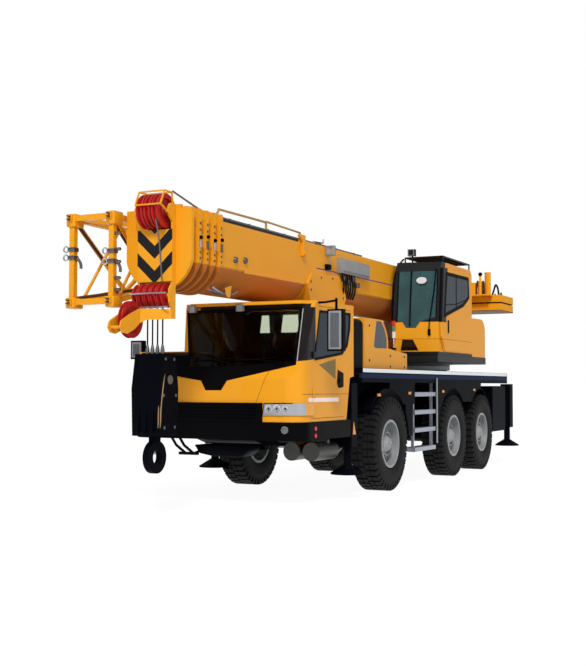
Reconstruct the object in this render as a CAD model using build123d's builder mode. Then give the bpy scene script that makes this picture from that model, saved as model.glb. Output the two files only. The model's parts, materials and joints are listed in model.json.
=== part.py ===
"""Mobile crane: three-axle all-terrain carrier, slewing upper works and a telescopic boom.

Millimetres. X points forward, Y to the left and Z up. The origin is on the ground,
in the middle of the crane's length and width.
"""

import os
from math import cos, radians, sin

from build123d import *

os.makedirs("parts", exist_ok=True)

# ---- fits
SEAT = 0.3  # between pieces that rest on each other across a curved face
PIN_GAP = 0.5  # round pins, spindles, rods and wear pads
RUNNING = 8  # round pieces that move
PANEL_GAP = 6  # round doors

# ---- running gear
AXLES = {"1": 1130, "2": -1840, "3": -3490}
STEERED = "1"
TYRE_R = 685
TYRE_WIDTH = 385
TRACK_HALF = 1090
RIM_R = 330
FLANGE_R = 352
RIM_HALF = 172
RIM_WALL = 18
HUB_R = 135
SPINDLE_R = 60
SPINDLE_TIP = TRACK_HALF + 98
KING_Y = 940
KING_R = 32
KING_BODY_R = 70
KNUCKLE_HALF = 105
KING_GAP = 5  # above and below a knuckle, inside its yoke
EAR_T = 35
YOKE_Y = (KING_Y - 150, KING_Y - 80)
YOKE_HALF = 75
AXLE_R = 85
DIFF_R = 200
DIFF_HALF = 170
STRUT_Y = 640
STRUT_R = 60
STRUT_SEAT = 90
STRUT_FOOT = 105
STRUT_TOP_Z = 1480
STRUT_SLEEVE = 400

# ---- carrier frame and deck
FRAME_HALF = 430
FRAME_BOTTOM = 960
FRAME_TOP = 1710
DECK_T = 70
DECK_TOP = FRAME_TOP + DECK_T
DECK_HALF = 1250
DECK_REAR = -5290
DECK_FRONT = 2190
TOWER_TOP = 1570  # of the outriggers' towers, which slide out under the deck's edge
SKIRT_T = 40
BAND_LOW = TOWER_TOP + 10  # lower edge of the band under the deck's edge
SKIRT_LOW = 1250
ARCH_R = 800
FENDER_T = 12
FENDER_SPREAD = 50
SLEW_X = -2270
PEDESTAL_R = 950
PEDESTAL_TOP = DECK_TOP + 20
RING_R = 1000

# ---- outriggers
BOX_FRONT_X = (1950, 2590)
BOX_REAR_X = (-5810, -5170)
BOX_Z = (700, 1500)
BEAM_W = 200
BEAM_IN = 160  # from a box's end to the middle of its beam
BEAM_Z = (800, 1080)
TOWER_Y = (DECK_HALF - 210, DECK_HALF - 10)
TOWER_Z = (BOX_Z[0], TOWER_TOP)
BOX_HALF = TOWER_Y[0] - 10
BEAM_TAIL = BOX_HALF - 50
JACK_R = 60
JACK_TOP = 1450
LOCKER_Z = (660, 1530)
PAD_R = 235
PAD_Z = (330, 385)
PAD_RIM = 22

# ---- carrier cab
CAB_REAR = 2480
CAB_FRONT = 4110
CAB_HALF = 1250
CAB_BOTTOM = 1080
CAB_SHELF = 1980
CAB_ROOF = 2620
CAB_RIGHT = 750
CAB_WALL = 45
CAB_CORNER_R = 240
GLASS_T = 6
GLASS_DEPTH = 12  # how far glass lies behind the panels round it
CAB_CLEAR = 20  # from the low nose of the frame up to the cab
BUMPER_BOTTOM = 850
BUMPER_T = 60
BUMPER_BACK = CAB_FRONT - 140
NOSE_LOW = 760

# ---- slewing upper works
TABLE_BOTTOM = PEDESTAL_TOP + RUNNING
TABLE_TOP = 1985
SLAB_T = 50
CHEEK_IN = 440
CHEEK_OUT = 470
CAB_GAP = 8  # between the cheek and the operator's cab
PIVOT_X = -4570
PIVOT_Z = 3150
PIVOT_R = 75
OP_REAR = -3060
OP_FRONT = -1165
OP_BULGE = 150  # how far the windscreen's inner end stands ahead of its outer end
OP_IN = CHEEK_OUT + CAB_GAP
OP_OUT = 1215
OP_BASE = TABLE_TOP - SLAB_T
OP_FLOOR = 2060
OP_ROOF = 3625
OP_WALL = 45
OP_DOOR_T = 36
COVER_REAR = -3990
COVER_TOP = 2775
COVER_R = 230
CW_REAR = -6190
CW_FRONT = -5130
CW_HALF = 1180
CW_Z = (3040, 3350)
CW_R = 160
CW_GROOVE = 26
POST_R = 62
POST_TOP = 3815
WINCH_X = -3820
WINCH_Z = 2290
WINCH_R = 165
WINCH_FLANGE_R = 215
WINCH_HALF = 300
WINCH_FLANGE_T = 30

# ---- luffing cylinder
FOOT_X = -3070
FOOT_Z = 2150
EYE_X = 1430
EYE_Z = 2597
BARREL_R = 105
BARREL_LENGTH = 4060
BORE_FROM = 300
ROD_R = 50
ROD_BORE_R = ROD_R + PIN_GAP
EYE_R = 70
EYE_PIN_R = 40
LUG_TOP = 2700
LUG_IN = 100
LUG_OUT = 128

# ---- boom
BOOM_HALF = 420
BOOM_TOP = 3580
BOOM_FOLD = 3000
BOOM_BOTTOM = 2680
BOOM_WALL = 12
BOOM_REAR = -4850
BOOM_FRONT = 4670
NEST = 40
SECTION_REAR = -4380
SECTION_STEP = 165
COLLAR_T = 55
COLLAR_GROW = 35  # how far a collar stands out from the boom's base
COLLAR_TOP = 3655
COLLAR_TOP_HALF = 300
SECTIONS = 4
HEAD_FRONT = 5470
HEAD_HALF = 240
HEAD_PLATE_T = 25
HEAD_LOW = 2310
SHEAVE_X = 5440
SHEAVE_Z = 2580
SHEAVE_R = 145
TOP_SHEAVE_X = 5480
TOP_SHEAVE_Z = 3570
TOP_SHEAVE_R = 205
NOSE_X = 5760
NOSE_Z = 2290
NOSE_R = 215
NOSE_Y = -130  # middle of the nose sheave
NOSE_HALF = 70  # from the middle of the nose sheave to the inner faces of its arms
NOSE_TIP = 6085
NOSE_PLATE_T = 22
HOOK_HALF = 200
HOOK_TOP = 1900
HOOK_LOW = 950
BOWL_Z = 700
BOWL_R = 190
BOWL_HALF = 40
ROPE_R = 9
ROPE_Y = (-110, -40, 30, 100)


def side_face(points, y, round_off=0):
    """A face with its outline in X and Z, at one Y."""
    with BuildSketch(Plane.XZ.offset(-y)) as face:
        Polygon(*points, align=None)
        if round_off:
            fillet(face.vertices(), round_off)
    return face.sketch


def side_plate(points, y_low, y_high, round_off=0, mode=Mode.ADD):
    """Adds a plate with its outline in X and Z."""
    extrude(side_face(points, y_low, round_off), amount=y_low - y_high, mode=mode)


def plan_plate(points, z_low, z_high, round_off=0, mode=Mode.ADD):
    """Adds a plate with its outline in X and Y."""
    with BuildSketch(Plane.XY.offset(z_low)) as face:
        Polygon(*points, align=None)
        if round_off:
            fillet(face.vertices(), round_off)
    extrude(face.sketch, amount=z_high - z_low, mode=mode)


def cross_plate(points, x_low, x_high, round_off=0, mode=Mode.ADD):
    """Adds a plate with its outline in Y and Z."""
    with BuildSketch(Plane.YZ.offset(x_low)) as face:
        Polygon(*points, align=None)
        if round_off:
            fillet(face.vertices(), round_off)
    extrude(face.sketch, amount=x_high - x_low, mode=mode)


def block(x, y, z, mode=Mode.ADD):
    """Adds a box between two limits on each axis."""
    with Locations(((x[0] + x[1]) / 2, (y[0] + y[1]) / 2, (z[0] + z[1]) / 2)):
        Box(x[1] - x[0], abs(y[1] - y[0]), z[1] - z[0], mode=mode)


def cross_pin(x, z, y_low, y_high, radius, mode=Mode.ADD):
    """Adds a round bar along Y."""
    with BuildSketch(Plane(origin=(x, y_low, z), z_dir=(0, 1, 0))) as face:
        Circle(radius)
    extrude(face.sketch, amount=y_high - y_low, mode=mode)


def upright(x, y, z_low, z_high, radius, mode=Mode.ADD):
    """Adds a round bar along Z."""
    with BuildSketch(Plane.XY.offset(z_low)) as face:
        with Locations((x, y)):
            Circle(radius)
    extrude(face.sketch, amount=z_high - z_low, mode=mode)


def strut(start, end, size, mode=Mode.ADD):
    """Adds a square bar between two points."""
    run = Vector(*end) - Vector(*start)
    with BuildSketch(Plane(origin=start, z_dir=run.normalized())) as face:
        Rectangle(size, size)
    extrude(face.sketch, amount=run.length, mode=mode)


def rod(start, end, radius, mode=Mode.ADD):
    """Adds a round bar between two points."""
    run = Vector(*end) - Vector(*start)
    with BuildSketch(Plane(origin=start, z_dir=run.normalized())) as face:
        Circle(radius)
    extrude(face.sketch, amount=run.length, mode=mode)


def save(part, name):
    part.label = name
    export_step(part, f"parts/{name}.step")


SIDES = {"left": 1, "right": -1}

# ---- wheels: tyre and rim profiles, as distance out from the mid-plane and radius
TYRE_HALF = TYRE_WIDTH / 2
BEAD_HALF = RIM_HALF - 22
TYRE_PROFILE = [
    (-BEAD_HALF, RIM_R),
    (-BEAD_HALF, FLANGE_R + 4),
    (-TYRE_HALF, RIM_R + 170),
    (-TYRE_HALF + 8, TYRE_R - 60),
    (-TYRE_HALF + 45, TYRE_R),
    (TYRE_HALF - 45, TYRE_R),
    (TYRE_HALF - 8, TYRE_R - 60),
    (TYRE_HALF, RIM_R + 170),
    (BEAD_HALF, FLANGE_R + 4),
    (BEAD_HALF, RIM_R),
]
BARREL_IN = RIM_R - RIM_WALL
HUB_BORE_R = SPINDLE_R + PIN_GAP
HUB_DEPTH = SPINDLE_TIP - TRACK_HALF + 5
RIM_PROFILE = [
    (HUB_DEPTH, 0),
    (HUB_DEPTH + 50, 0),
    (HUB_DEPTH + 50, 80),
    (HUB_DEPTH + 25, 100),
    (90, HUB_R),
    (75, HUB_R + 5),
    (75, 190),
    (35, 260),
    (35, BARREL_IN),
    (RIM_HALF, BARREL_IN + 6),
    (RIM_HALF, FLANGE_R),
    (BEAD_HALF + 5, FLANGE_R),
    (BEAD_HALF + 5, RIM_R - SEAT),
    (-BEAD_HALF - 5, RIM_R - SEAT),
    (-BEAD_HALF - 5, FLANGE_R),
    (-RIM_HALF, FLANGE_R),
    (-RIM_HALF, BARREL_IN),
    (12, BARREL_IN),
    (12, 250),
    (52, 180),
    (52, HUB_R),
    (-60, HUB_R),
    (-60, HUB_BORE_R),
    (HUB_DEPTH, HUB_BORE_R),
]
HAND_HOLES = 10
HAND_HOLE_R = 24
for axle, axle_x in AXLES.items():
    for side, sign in SIDES.items():
        middle = Plane(origin=(axle_x, sign * TRACK_HALF, TYRE_R), x_dir=(0, sign, 0), z_dir=(sign, 0, 0))
        spin_axis = Axis((axle_x, 0, TYRE_R), (0, 1, 0))
        with BuildPart() as tyre:
            with BuildSketch(middle) as tyre_face:
                Polygon(*TYRE_PROFILE, align=None)
            revolve(axis=spin_axis)
        save(tyre.part, f"tyre_{axle}_{side}")
        with BuildPart() as rim:
            with BuildSketch(middle) as rim_face:
                Polygon(*RIM_PROFILE, align=None)
            revolve(axis=spin_axis)
            holes_face = Plane(origin=(axle_x, sign * TRACK_HALF, TYRE_R), x_dir=(1, 0, 0), z_dir=(0, sign, 0))
            with BuildSketch(holes_face) as holes:
                with PolarLocations(225, HAND_HOLES):
                    Circle(HAND_HOLE_R)
            extrude(amount=HUB_R, mode=Mode.SUBTRACT)
        save(rim.part, f"rim_{axle}_{side}")

# ---- steering knuckles of the first axle
for side, sign in SIDES.items():
    steer_x = AXLES[STEERED]
    with BuildPart() as knuckle:
        upright(steer_x, sign * KING_Y, TYRE_R - KNUCKLE_HALF, TYRE_R + KNUCKLE_HALF, KING_BODY_R)
        pin_half = KNUCKLE_HALF + EAR_T + KING_GAP
        upright(steer_x, sign * KING_Y, TYRE_R - pin_half, TYRE_R + pin_half, KING_R)
        ends = sorted((sign * KING_Y, sign * SPINDLE_TIP))
        cross_pin(steer_x, TYRE_R, ends[0], ends[1], SPINDLE_R)
    save(knuckle.part, f"knuckle_{side}")

# ---- axles, each with its differential and suspension struts
with BuildPart() as axles:
    for axle, axle_x in AXLES.items():
        steered = axle == STEERED
        inner_end = YOKE_Y[1] if steered else TRACK_HALF - 70
        cross_pin(axle_x, TYRE_R, -inner_end, inner_end, AXLE_R)
        cross_pin(axle_x, TYRE_R, -DIFF_HALF, DIFF_HALF, DIFF_R)
        for sign in SIDES.values():
            seat_y = (sign * STRUT_Y - STRUT_SEAT, sign * STRUT_Y + STRUT_SEAT)
            block((axle_x - STRUT_SEAT, axle_x + STRUT_SEAT), seat_y, (TYRE_R, TYRE_R + STRUT_FOOT))
            upright(axle_x, sign * STRUT_Y, TYRE_R + STRUT_FOOT, STRUT_TOP_Z, STRUT_R)
            upright(axle_x, sign * STRUT_Y, TYRE_R + STRUT_SLEEVE, STRUT_TOP_Z, STRUT_R + 20)
            if steered:
                yoke_x = (axle_x - YOKE_HALF, axle_x + YOKE_HALF)
                ear_from = KNUCKLE_HALF + KING_GAP
                ear_to = ear_from + EAR_T
                block(yoke_x, sorted((sign * YOKE_Y[0], sign * YOKE_Y[1])), (TYRE_R - ear_to, TYRE_R + ear_to))
                reach = sorted((sign * YOKE_Y[0], sign * KING_Y))
                for low in (TYRE_R - ear_to, TYRE_R + ear_from):
                    block(yoke_x, reach, (low, low + EAR_T))
                    upright(axle_x, sign * KING_Y, low, low + EAR_T, YOKE_HALF)
                    upright(axle_x, sign * KING_Y, low, low + EAR_T, KING_R + PIN_GAP, mode=Mode.SUBTRACT)
            else:
                tip = sorted((sign * inner_end, sign * SPINDLE_TIP))
                cross_pin(axle_x, TYRE_R, tip[0], tip[1], SPINDLE_R)
save(axles.part, "axles")

# ---- carrier frame: deep box beam, turntable pedestal, strut brackets, and the low nose under the cab
with BuildPart() as frame:
    frame_side = [
        (BOX_REAR_X[1], FRAME_BOTTOM + 60),
        (BOX_REAR_X[1], FRAME_TOP),
        (BOX_FRONT_X[0], FRAME_TOP),
        (BOX_FRONT_X[0], FRAME_BOTTOM),
        (AXLES["2"] + 1200, FRAME_BOTTOM),
        (AXLES["2"] + 900, FRAME_BOTTOM + 60),
    ]
    side_plate(frame_side, -FRAME_HALF, FRAME_HALF)
    upright(SLEW_X, 0, FRAME_TOP, PEDESTAL_TOP, PEDESTAL_R)
    upright(SLEW_X, 0, FRAME_TOP, PEDESTAL_TOP, 300 + PIN_GAP, mode=Mode.SUBTRACT)
    for axle_x in AXLES.values():
        block((axle_x - 130, axle_x + 130), (-STRUT_Y - 100, STRUT_Y + 100), (STRUT_TOP_Z, STRUT_TOP_Z + 70))
    nose_side = [
        (BOX_FRONT_X[1], NOSE_LOW),
        (BOX_FRONT_X[1], CAB_BOTTOM - CAB_CLEAR),
        (BUMPER_BACK, CAB_BOTTOM - CAB_CLEAR),
        (BUMPER_BACK, BUMPER_BOTTOM + 30),
        (CAB_FRONT - 500, NOSE_LOW + 20),
    ]
    side_plate(nose_side, -FRAME_HALF, FRAME_HALF)
save(frame.part, "chassis_frame")


# ---- outriggers: a cross box at each end, two beams in each, and a jack at each beam's end
def outrigger_box(x, left_x, right_x):
    block(x, (-BOX_HALF, BOX_HALF), BOX_Z)
    for beam_x in (left_x, right_x):
        half = BEAM_W / 2 + RUNNING
        tunnel_z = (BEAM_Z[0] - PIN_GAP, BEAM_Z[1] + RUNNING)
        block((beam_x - half, beam_x + half), (-BOX_HALF, BOX_HALF), tunnel_z, mode=Mode.SUBTRACT)


OUTRIGGERS = {
    # name: (beam centre X, side)
    "front_left": (BOX_FRONT_X[1] - BEAM_IN, 1),
    "front_right": (BOX_FRONT_X[0] + BEAM_IN, -1),
    "rear_left": (BOX_REAR_X[0] + BEAM_IN, 1),
    "rear_right": (BOX_REAR_X[1] - BEAM_IN, -1),
}
with BuildPart() as box_front:
    outrigger_box(BOX_FRONT_X, OUTRIGGERS["front_left"][0], OUTRIGGERS["front_right"][0])
save(box_front.part, "outrigger_box_front")
with BuildPart() as box_rear:
    outrigger_box(BOX_REAR_X, OUTRIGGERS["rear_left"][0], OUTRIGGERS["rear_right"][0])
    for sign in SIDES.values():
        locker = sorted((sign * FRAME_HALF, sign * TOWER_Y[1]))
        block((BOX_REAR_X[1], AXLES["3"] - ARCH_R), locker, LOCKER_Z)
save(box_rear.part, "outrigger_box_rear")

PAD_PROFILE = [
    # distance out from the jack's middle, and height
    (0, PAD_Z[0]),
    (PAD_R, PAD_Z[0]),
    (PAD_R, PAD_Z[0] + PAD_RIM),
    (PAD_R / 2, PAD_Z[1] + PAD_RIM),
    (PAD_R / 3, PAD_Z[1] + 3 * PAD_RIM),
    (0, PAD_Z[1] + 3 * PAD_RIM),
]
for name, (beam_x, sign) in OUTRIGGERS.items():
    jack_y = sign * (TOWER_Y[0] + TOWER_Y[1]) / 2
    half = BEAM_W / 2
    with BuildPart() as beam:
        block((beam_x - half, beam_x + half), sorted((-sign * BEAM_TAIL, sign * TOWER_Y[0])), BEAM_Z)
        block((beam_x - half, beam_x + half), sorted((sign * TOWER_Y[0], sign * TOWER_Y[1])), TOWER_Z)
        upright(beam_x, jack_y, TOWER_Z[0], TOWER_Z[1] - 50, JACK_R + PIN_GAP, mode=Mode.SUBTRACT)
    save(beam.part, f"outrigger_beam_{name}")
    with BuildPart() as jack:
        upright(beam_x, jack_y, PAD_Z[1], JACK_TOP, JACK_R)
        with BuildSketch(Plane(origin=(beam_x, jack_y, 0), x_dir=(1, 0, 0), z_dir=(0, -1, 0))) as pad_face:
            Polygon(*PAD_PROFILE, align=None)
        revolve(axis=Axis((beam_x, jack_y, 0), (0, 0, 1)))
    save(jack.part, f"outrigger_jack_{name}")

STEP_TOPS = (570, 870, 1150, 1430)
STEP_T = 65

# ---- deck: plate, skirts cut to the wheel arches, fenders, and the panels between the wheels
PANEL_X = ((170, 460), (-1500, -970))
PANEL_LOW = (760, 560)
LADDER_X = (-920, 60)
with BuildPart() as deck:
    block((DECK_REAR, DECK_FRONT), (-DECK_HALF, DECK_HALF), (FRAME_TOP, DECK_TOP))
    upright(SLEW_X, 0, FRAME_TOP, DECK_TOP, PEDESTAL_R + SEAT, mode=Mode.SUBTRACT)
    for sign in SIDES.values():
        skirt = sorted((sign * (DECK_HALF - SKIRT_T), sign * DECK_HALF))
        block((DECK_REAR, DECK_FRONT), skirt, (BAND_LOW, FRAME_TOP))
        block((AXLES["3"], LADDER_X[0] - PANEL_GAP), skirt, (SKIRT_LOW, BAND_LOW))
        block((LADDER_X[1] + PANEL_GAP, AXLES["1"]), skirt, (SKIRT_LOW, BAND_LOW))
        for panel_x, low in zip(PANEL_X, PANEL_LOW):
            block(panel_x, skirt, (low, BAND_LOW))
        for axle_x in AXLES.values():
            cross_pin(axle_x, TYRE_R, *skirt, ARCH_R, mode=Mode.SUBTRACT)
    for sign in SIDES.values():
        fender_y = sorted((sign * (TRACK_HALF - TYRE_WIDTH / 2 + 40), sign * (DECK_HALF - SKIRT_T)))
        for axle_x in AXLES.values():
            width = fender_y[1] - fender_y[0]
            with BuildSketch(Plane.XZ.offset(-fender_y[1])) as fender:
                with BuildLine():
                    for radius in (ARCH_R, ARCH_R + FENDER_T):
                        CenterArc((axle_x, TYRE_R), radius, 90 - FENDER_SPREAD, 2 * FENDER_SPREAD)
                    for side in (-1, 1):
                        lean = radians(90 + side * FENDER_SPREAD)
                        ends = [(axle_x + r * cos(lean), TYRE_R + r * sin(lean)) for r in (ARCH_R, ARCH_R + FENDER_T)]
                        Line(*ends)
                make_face()
            extrude(fender.sketch, amount=width)
            block((axle_x - 20, axle_x + 20), fender_y, (TYRE_R + ARCH_R, FRAME_TOP))
save(deck.part, "deck")

# ---- side ladder
with BuildPart() as ladder:
    for sign in SIDES.values():
        rails = sorted((sign * (DECK_HALF - SKIRT_T - 45), sign * (DECK_HALF - SKIRT_T)))
        treads = sorted((sign * (DECK_HALF - 190), sign * DECK_HALF))
        for rail_x in (LADDER_X[0] + 40, LADDER_X[1] - 70):
            block((rail_x, rail_x + 30), rails, (STEP_TOPS[0] - 70, FRAME_TOP))
        for top in STEP_TOPS:
            block(LADDER_X, treads, (top - STEP_T, top))
save(ladder.part, "ladders")

# ---- engine and its hood
ENGINE_X = (430, 1630)
with BuildPart() as engine:
    block(ENGINE_X, (-400, 400), (DECK_TOP, DECK_TOP + 200))
save(engine.part, "engine")
HOOD_X = (60, 1790)
HOOD_HALF = 1120
HOOD_TOP = 2505
HOOD_LOW = 2030
HOOD_STEP = 800  # length of the low rear part
HOOD_T = 20
MESH_DEPTH = 12


def hood_face(inset, y):
    """Side outline: a low rear part, a rounded shoulder and a flat top."""
    rear, front = HOOD_X[0] + inset, HOOD_X[1] - inset
    top, low = HOOD_TOP - inset, HOOD_LOW - inset
    with BuildSketch(Plane.XZ.offset(-y)) as face:
        with BuildLine():
            foot = (rear + HOOD_STEP, low + 60)
            rise = (rear + HOOD_STEP + 10, low + 200)
            shoulder = (rear + HOOD_STEP + 100, top - 125)
            crest = (rear + HOOD_STEP + 260, top)
            Polyline(foot, (rear, low), (rear, DECK_TOP), (front, DECK_TOP), (front, top), crest)
            ThreePointArc(crest, shoulder, rise)
            Line(rise, foot)
        make_face()
    return face.sketch


HOOD_MESH = [(1330, 2480), (1430, 2110), (1370, 2080), (905, 2090), (905, 2215), (1000, 2370), (1140, 2480)]
with BuildPart() as hood:
    extrude(hood_face(0, HOOD_HALF), amount=2 * HOOD_HALF)
    extrude(hood_face(HOOD_T, HOOD_HALF - HOOD_T), amount=2 * (HOOD_HALF - HOOD_T), mode=Mode.SUBTRACT)
    for side in (-1, 1):
        side_plate(HOOD_MESH, *sorted((side * HOOD_HALF, side * (HOOD_HALF - MESH_DEPTH))), mode=Mode.SUBTRACT)
save(hood.part, "engine_hood")

INTAKE_X = (1870, 2180)
INTAKE_Y = (700, 1130)
INTAKE_TOP = 2480
with BuildPart() as intake:
    block(INTAKE_X, INTAKE_Y, (DECK_TOP, INTAKE_TOP))
    fillet(intake.edges().filter_by(Axis.X).group_by(Axis.Z)[-1], 90)
    upright(2020, -800, DECK_TOP, INTAKE_TOP, 110)
save(intake.part, "intake_and_exhaust")

# ---- air tanks under the cab
TANK_X = (2810, 3430)
TANK_Y = (780, 1060)
TANK_Z = 680
TANK_R = 120
with BuildPart() as tanks:
    for y in TANK_Y:
        rod((TANK_X[0], y, TANK_Z), (TANK_X[1], y, TANK_Z), TANK_R)
    block((3080, 3140), (FRAME_HALF, TANK_Y[1] + 100), (TANK_Z + 100, TANK_Z + 150))
save(tanks.part, "air_tanks")


# ---- carrier cab: low body over the full width, and an upper cab cut away on the right for the jib
def cab_plan(inset, right):
    """Plan of the cab with rounded front corners."""
    rear, front = CAB_REAR + inset, CAB_FRONT - inset
    with BuildSketch(Plane.XY) as plan:
        low_y, high_y = inset - right, CAB_HALF - inset
        Polygon((rear, low_y), (front, low_y), (front, high_y), (rear, high_y), align=None)
        corners = plan.vertices().group_by(Axis.X)[-1]
        fillet(corners, CAB_CORNER_R - inset)
    return plan.sketch


def cab_solid(inset, low_inset):
    """Outer or inner form of the cab, inset from the outside."""
    low = CAB_BOTTOM + low_inset
    with BuildPart() as form:
        extrude(Pos(0, 0, low) * cab_plan(inset, CAB_HALF), amount=CAB_SHELF - inset - low)
        with BuildSketch(Plane.XY.offset(low)) as upper_plan:
            Polygon(
                (CAB_REAR + inset, -CAB_RIGHT + inset),
                (CAB_FRONT - 480, -CAB_RIGHT + 50 + inset),
                (CAB_FRONT - inset, -CAB_RIGHT + 300 + inset),
                (CAB_FRONT - inset, CAB_HALF - inset),
                (CAB_REAR + inset, CAB_HALF - inset),
                align=None,
            )
            fillet(upper_plan.vertices().group_by(Axis.X)[-1].sort_by(Axis.Y)[-1], CAB_CORNER_R - inset)
        extrude(upper_plan.sketch, amount=CAB_ROOF - inset - low)
        slant = [
            (CAB_REAR + 250 + inset, low),
            (CAB_REAR + 130 + inset, 1640 + inset),
            (CAB_REAR + inset, 1660 + inset),
            (CAB_REAR + inset, CAB_ROOF - inset),
            (CAB_FRONT - 480 - inset, CAB_ROOF - inset),
            (CAB_FRONT - 400 - inset, CAB_ROOF - 60 - inset),
            (CAB_FRONT - 75 - inset, CAB_ROOF - 840),
            (CAB_FRONT - inset, CAB_ROOF - 1000),
            (CAB_FRONT - inset, low),
        ]
        extrude(side_face(slant, -CAB_HALF - 10), amount=-2 * CAB_HALF - 20, mode=Mode.INTERSECT)
    return form.part


FRONT_OPENING = [
    (-640, 2530), (1080, 2530), (1139, 1790), (202, 1594), (118, 1472), (-118, 1472), (-183, 1594), (-1139, 1745),
    (-1139, 1930), (-460, 1930),
]
WINDSCREEN = [(-615, 2508), (1058, 2508), (1110, 1835), (250, 1765), (-430, 1780), (-436, 1935)]
FRONT_X = (CAB_REAR + 300, CAB_FRONT + 50)
SIDE_DOOR = [(2810, 1120), (3780, 1120), (3780, 2000), (3600, 2550), (2545, 2550), (2560, 1800), (2700, 1720)]
SIDE_DOOR_HINGE_X = SIDE_DOOR[1][0]
HINGE_R = 12
DOOR_WINDOW = [(2690, 2065), (2870, 1945), (3725, 1850), (3720, 1965), (3585, 2495), (2590, 2515), (2605, 2290)]
REAR_WINDOW_Y = ((-180, 200), (380, 760))
REAR_WINDOW_Z = (2260, 2520)


def outline_shrunk(points, y, amount):
    """A side outline with all edges moved inwards."""
    with BuildSketch(Plane.XZ.offset(-y)) as face:
        Polygon(*points, align=None)
        offset(amount=-amount, kind=Kind.INTERSECTION, mode=Mode.REPLACE)
    return face.sketch


cab_outer = cab_solid(0, 0)
cab_inner = cab_solid(CAB_WALL, CAB_WALL)
with BuildPart() as cab_shell:
    add(cab_outer)
    add(cab_inner, mode=Mode.SUBTRACT)
    visor_top = CAB_ROOF - 4
    plan_plate([(3590, -690), (3590, 1190), (3770, 1060), (3770, -560)], CAB_ROOF - CAB_WALL, visor_top, round_off=40)
    cross_plate(FRONT_OPENING, *FRONT_X, mode=Mode.SUBTRACT)
    extrude(side_face(SIDE_DOOR, CAB_HALF - CAB_WALL - 10), amount=-CAB_WALL - 20, mode=Mode.SUBTRACT)
    for y in REAR_WINDOW_Y:
        block((CAB_REAR - 10, CAB_REAR + CAB_WALL + 10), y, REAR_WINDOW_Z, mode=Mode.SUBTRACT)
save(cab_shell.part, "carrier_cab_shell")

with BuildPart() as cab_glass:
    add(cab_solid(GLASS_DEPTH, GLASS_DEPTH))
    add(cab_solid(GLASS_DEPTH + GLASS_T, GLASS_DEPTH + GLASS_T), mode=Mode.SUBTRACT)
    with BuildSketch(Plane.YZ.offset(FRONT_X[0])) as pane:
        Polygon(*WINDSCREEN, align=None)
        offset(amount=-SEAT, kind=Kind.INTERSECTION, mode=Mode.REPLACE)
    extrude(pane.sketch, amount=FRONT_X[1] - FRONT_X[0], mode=Mode.INTERSECT)
    for y in REAR_WINDOW_Y:
        pane_x = (CAB_REAR + GLASS_DEPTH, CAB_REAR + GLASS_DEPTH + GLASS_T)
        block(pane_x, (y[0] + SEAT, y[1] - SEAT), (REAR_WINDOW_Z[0] + SEAT, REAR_WINDOW_Z[1] - SEAT))
save(cab_glass.part, "carrier_cab_glass")

with BuildPart() as cab_door:
    extrude(outline_shrunk(SIDE_DOOR, CAB_HALF - CAB_WALL, PANEL_GAP), amount=-CAB_WALL)
    extrude(outline_shrunk(DOOR_WINDOW, CAB_HALF - CAB_WALL - 5, 0), amount=-CAB_WALL - 10, mode=Mode.SUBTRACT)
    extrude(outline_shrunk(DOOR_WINDOW, CAB_HALF - 20, SEAT), amount=-GLASS_T)
    for z in (1400, 1880):
        hinge_z = (z, z + 80)
        upright(SIDE_DOOR_HINGE_X, CAB_HALF + HINGE_R + SEAT, *hinge_z, HINGE_R)
        block((SIDE_DOOR_HINGE_X - 60, SIDE_DOOR_HINGE_X), (CAB_HALF, CAB_HALF + HINGE_R), hinge_z)
save(cab_door.part, "carrier_cab_door")

SEATS_Y = (-150, 700)
SEAT_HALF = 240
with BuildPart() as cab_interior:
    floor = CAB_BOTTOM + CAB_WALL
    block((3560, 3960), (-900, 1050), (floor, 1560))
    for y in SEATS_Y:
        cushion = (y - SEAT_HALF, y + SEAT_HALF)
        cushion_low, cushion_top = floor + 330, floor + 450
        block((2840, 3300), cushion, (cushion_low, cushion_top))
        block((2880, 3260), (y - SEAT_HALF + 80, y + SEAT_HALF - 80), (floor, cushion_low))
        block((2800, 2920), cushion, (cushion_top, cushion_top + 700))
save(cab_interior.part, "carrier_cab_interior")


# ---- front: bumper, grille, headlamps and mirrors
def front_band(grow, z_low, z_high):
    """Plan of the cab's front grown outwards, between two heights."""
    return extrude(Pos(0, 0, z_low) * cab_plan(-grow, CAB_HALF), amount=z_high - z_low, mode=Mode.PRIVATE)


with BuildPart() as bumper:
    add(front_band(10, BUMPER_BOTTOM, CAB_BOTTOM))
    add(front_band(10 - BUMPER_T, BUMPER_BOTTOM, CAB_BOTTOM), mode=Mode.SUBTRACT)
    rear_end = (CAB_REAR - 100, CAB_REAR + 130)
    block(rear_end, (-CAB_HALF - 50, CAB_HALF + 50), (BUMPER_BOTTOM - 10, CAB_BOTTOM + 10), mode=Mode.SUBTRACT)
    block((BUMPER_BACK, CAB_FRONT - 40), (-500, 500), (BUMPER_BOTTOM + 40, CAB_BOTTOM - 30))
save(bumper.part, "front_bumper")

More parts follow.
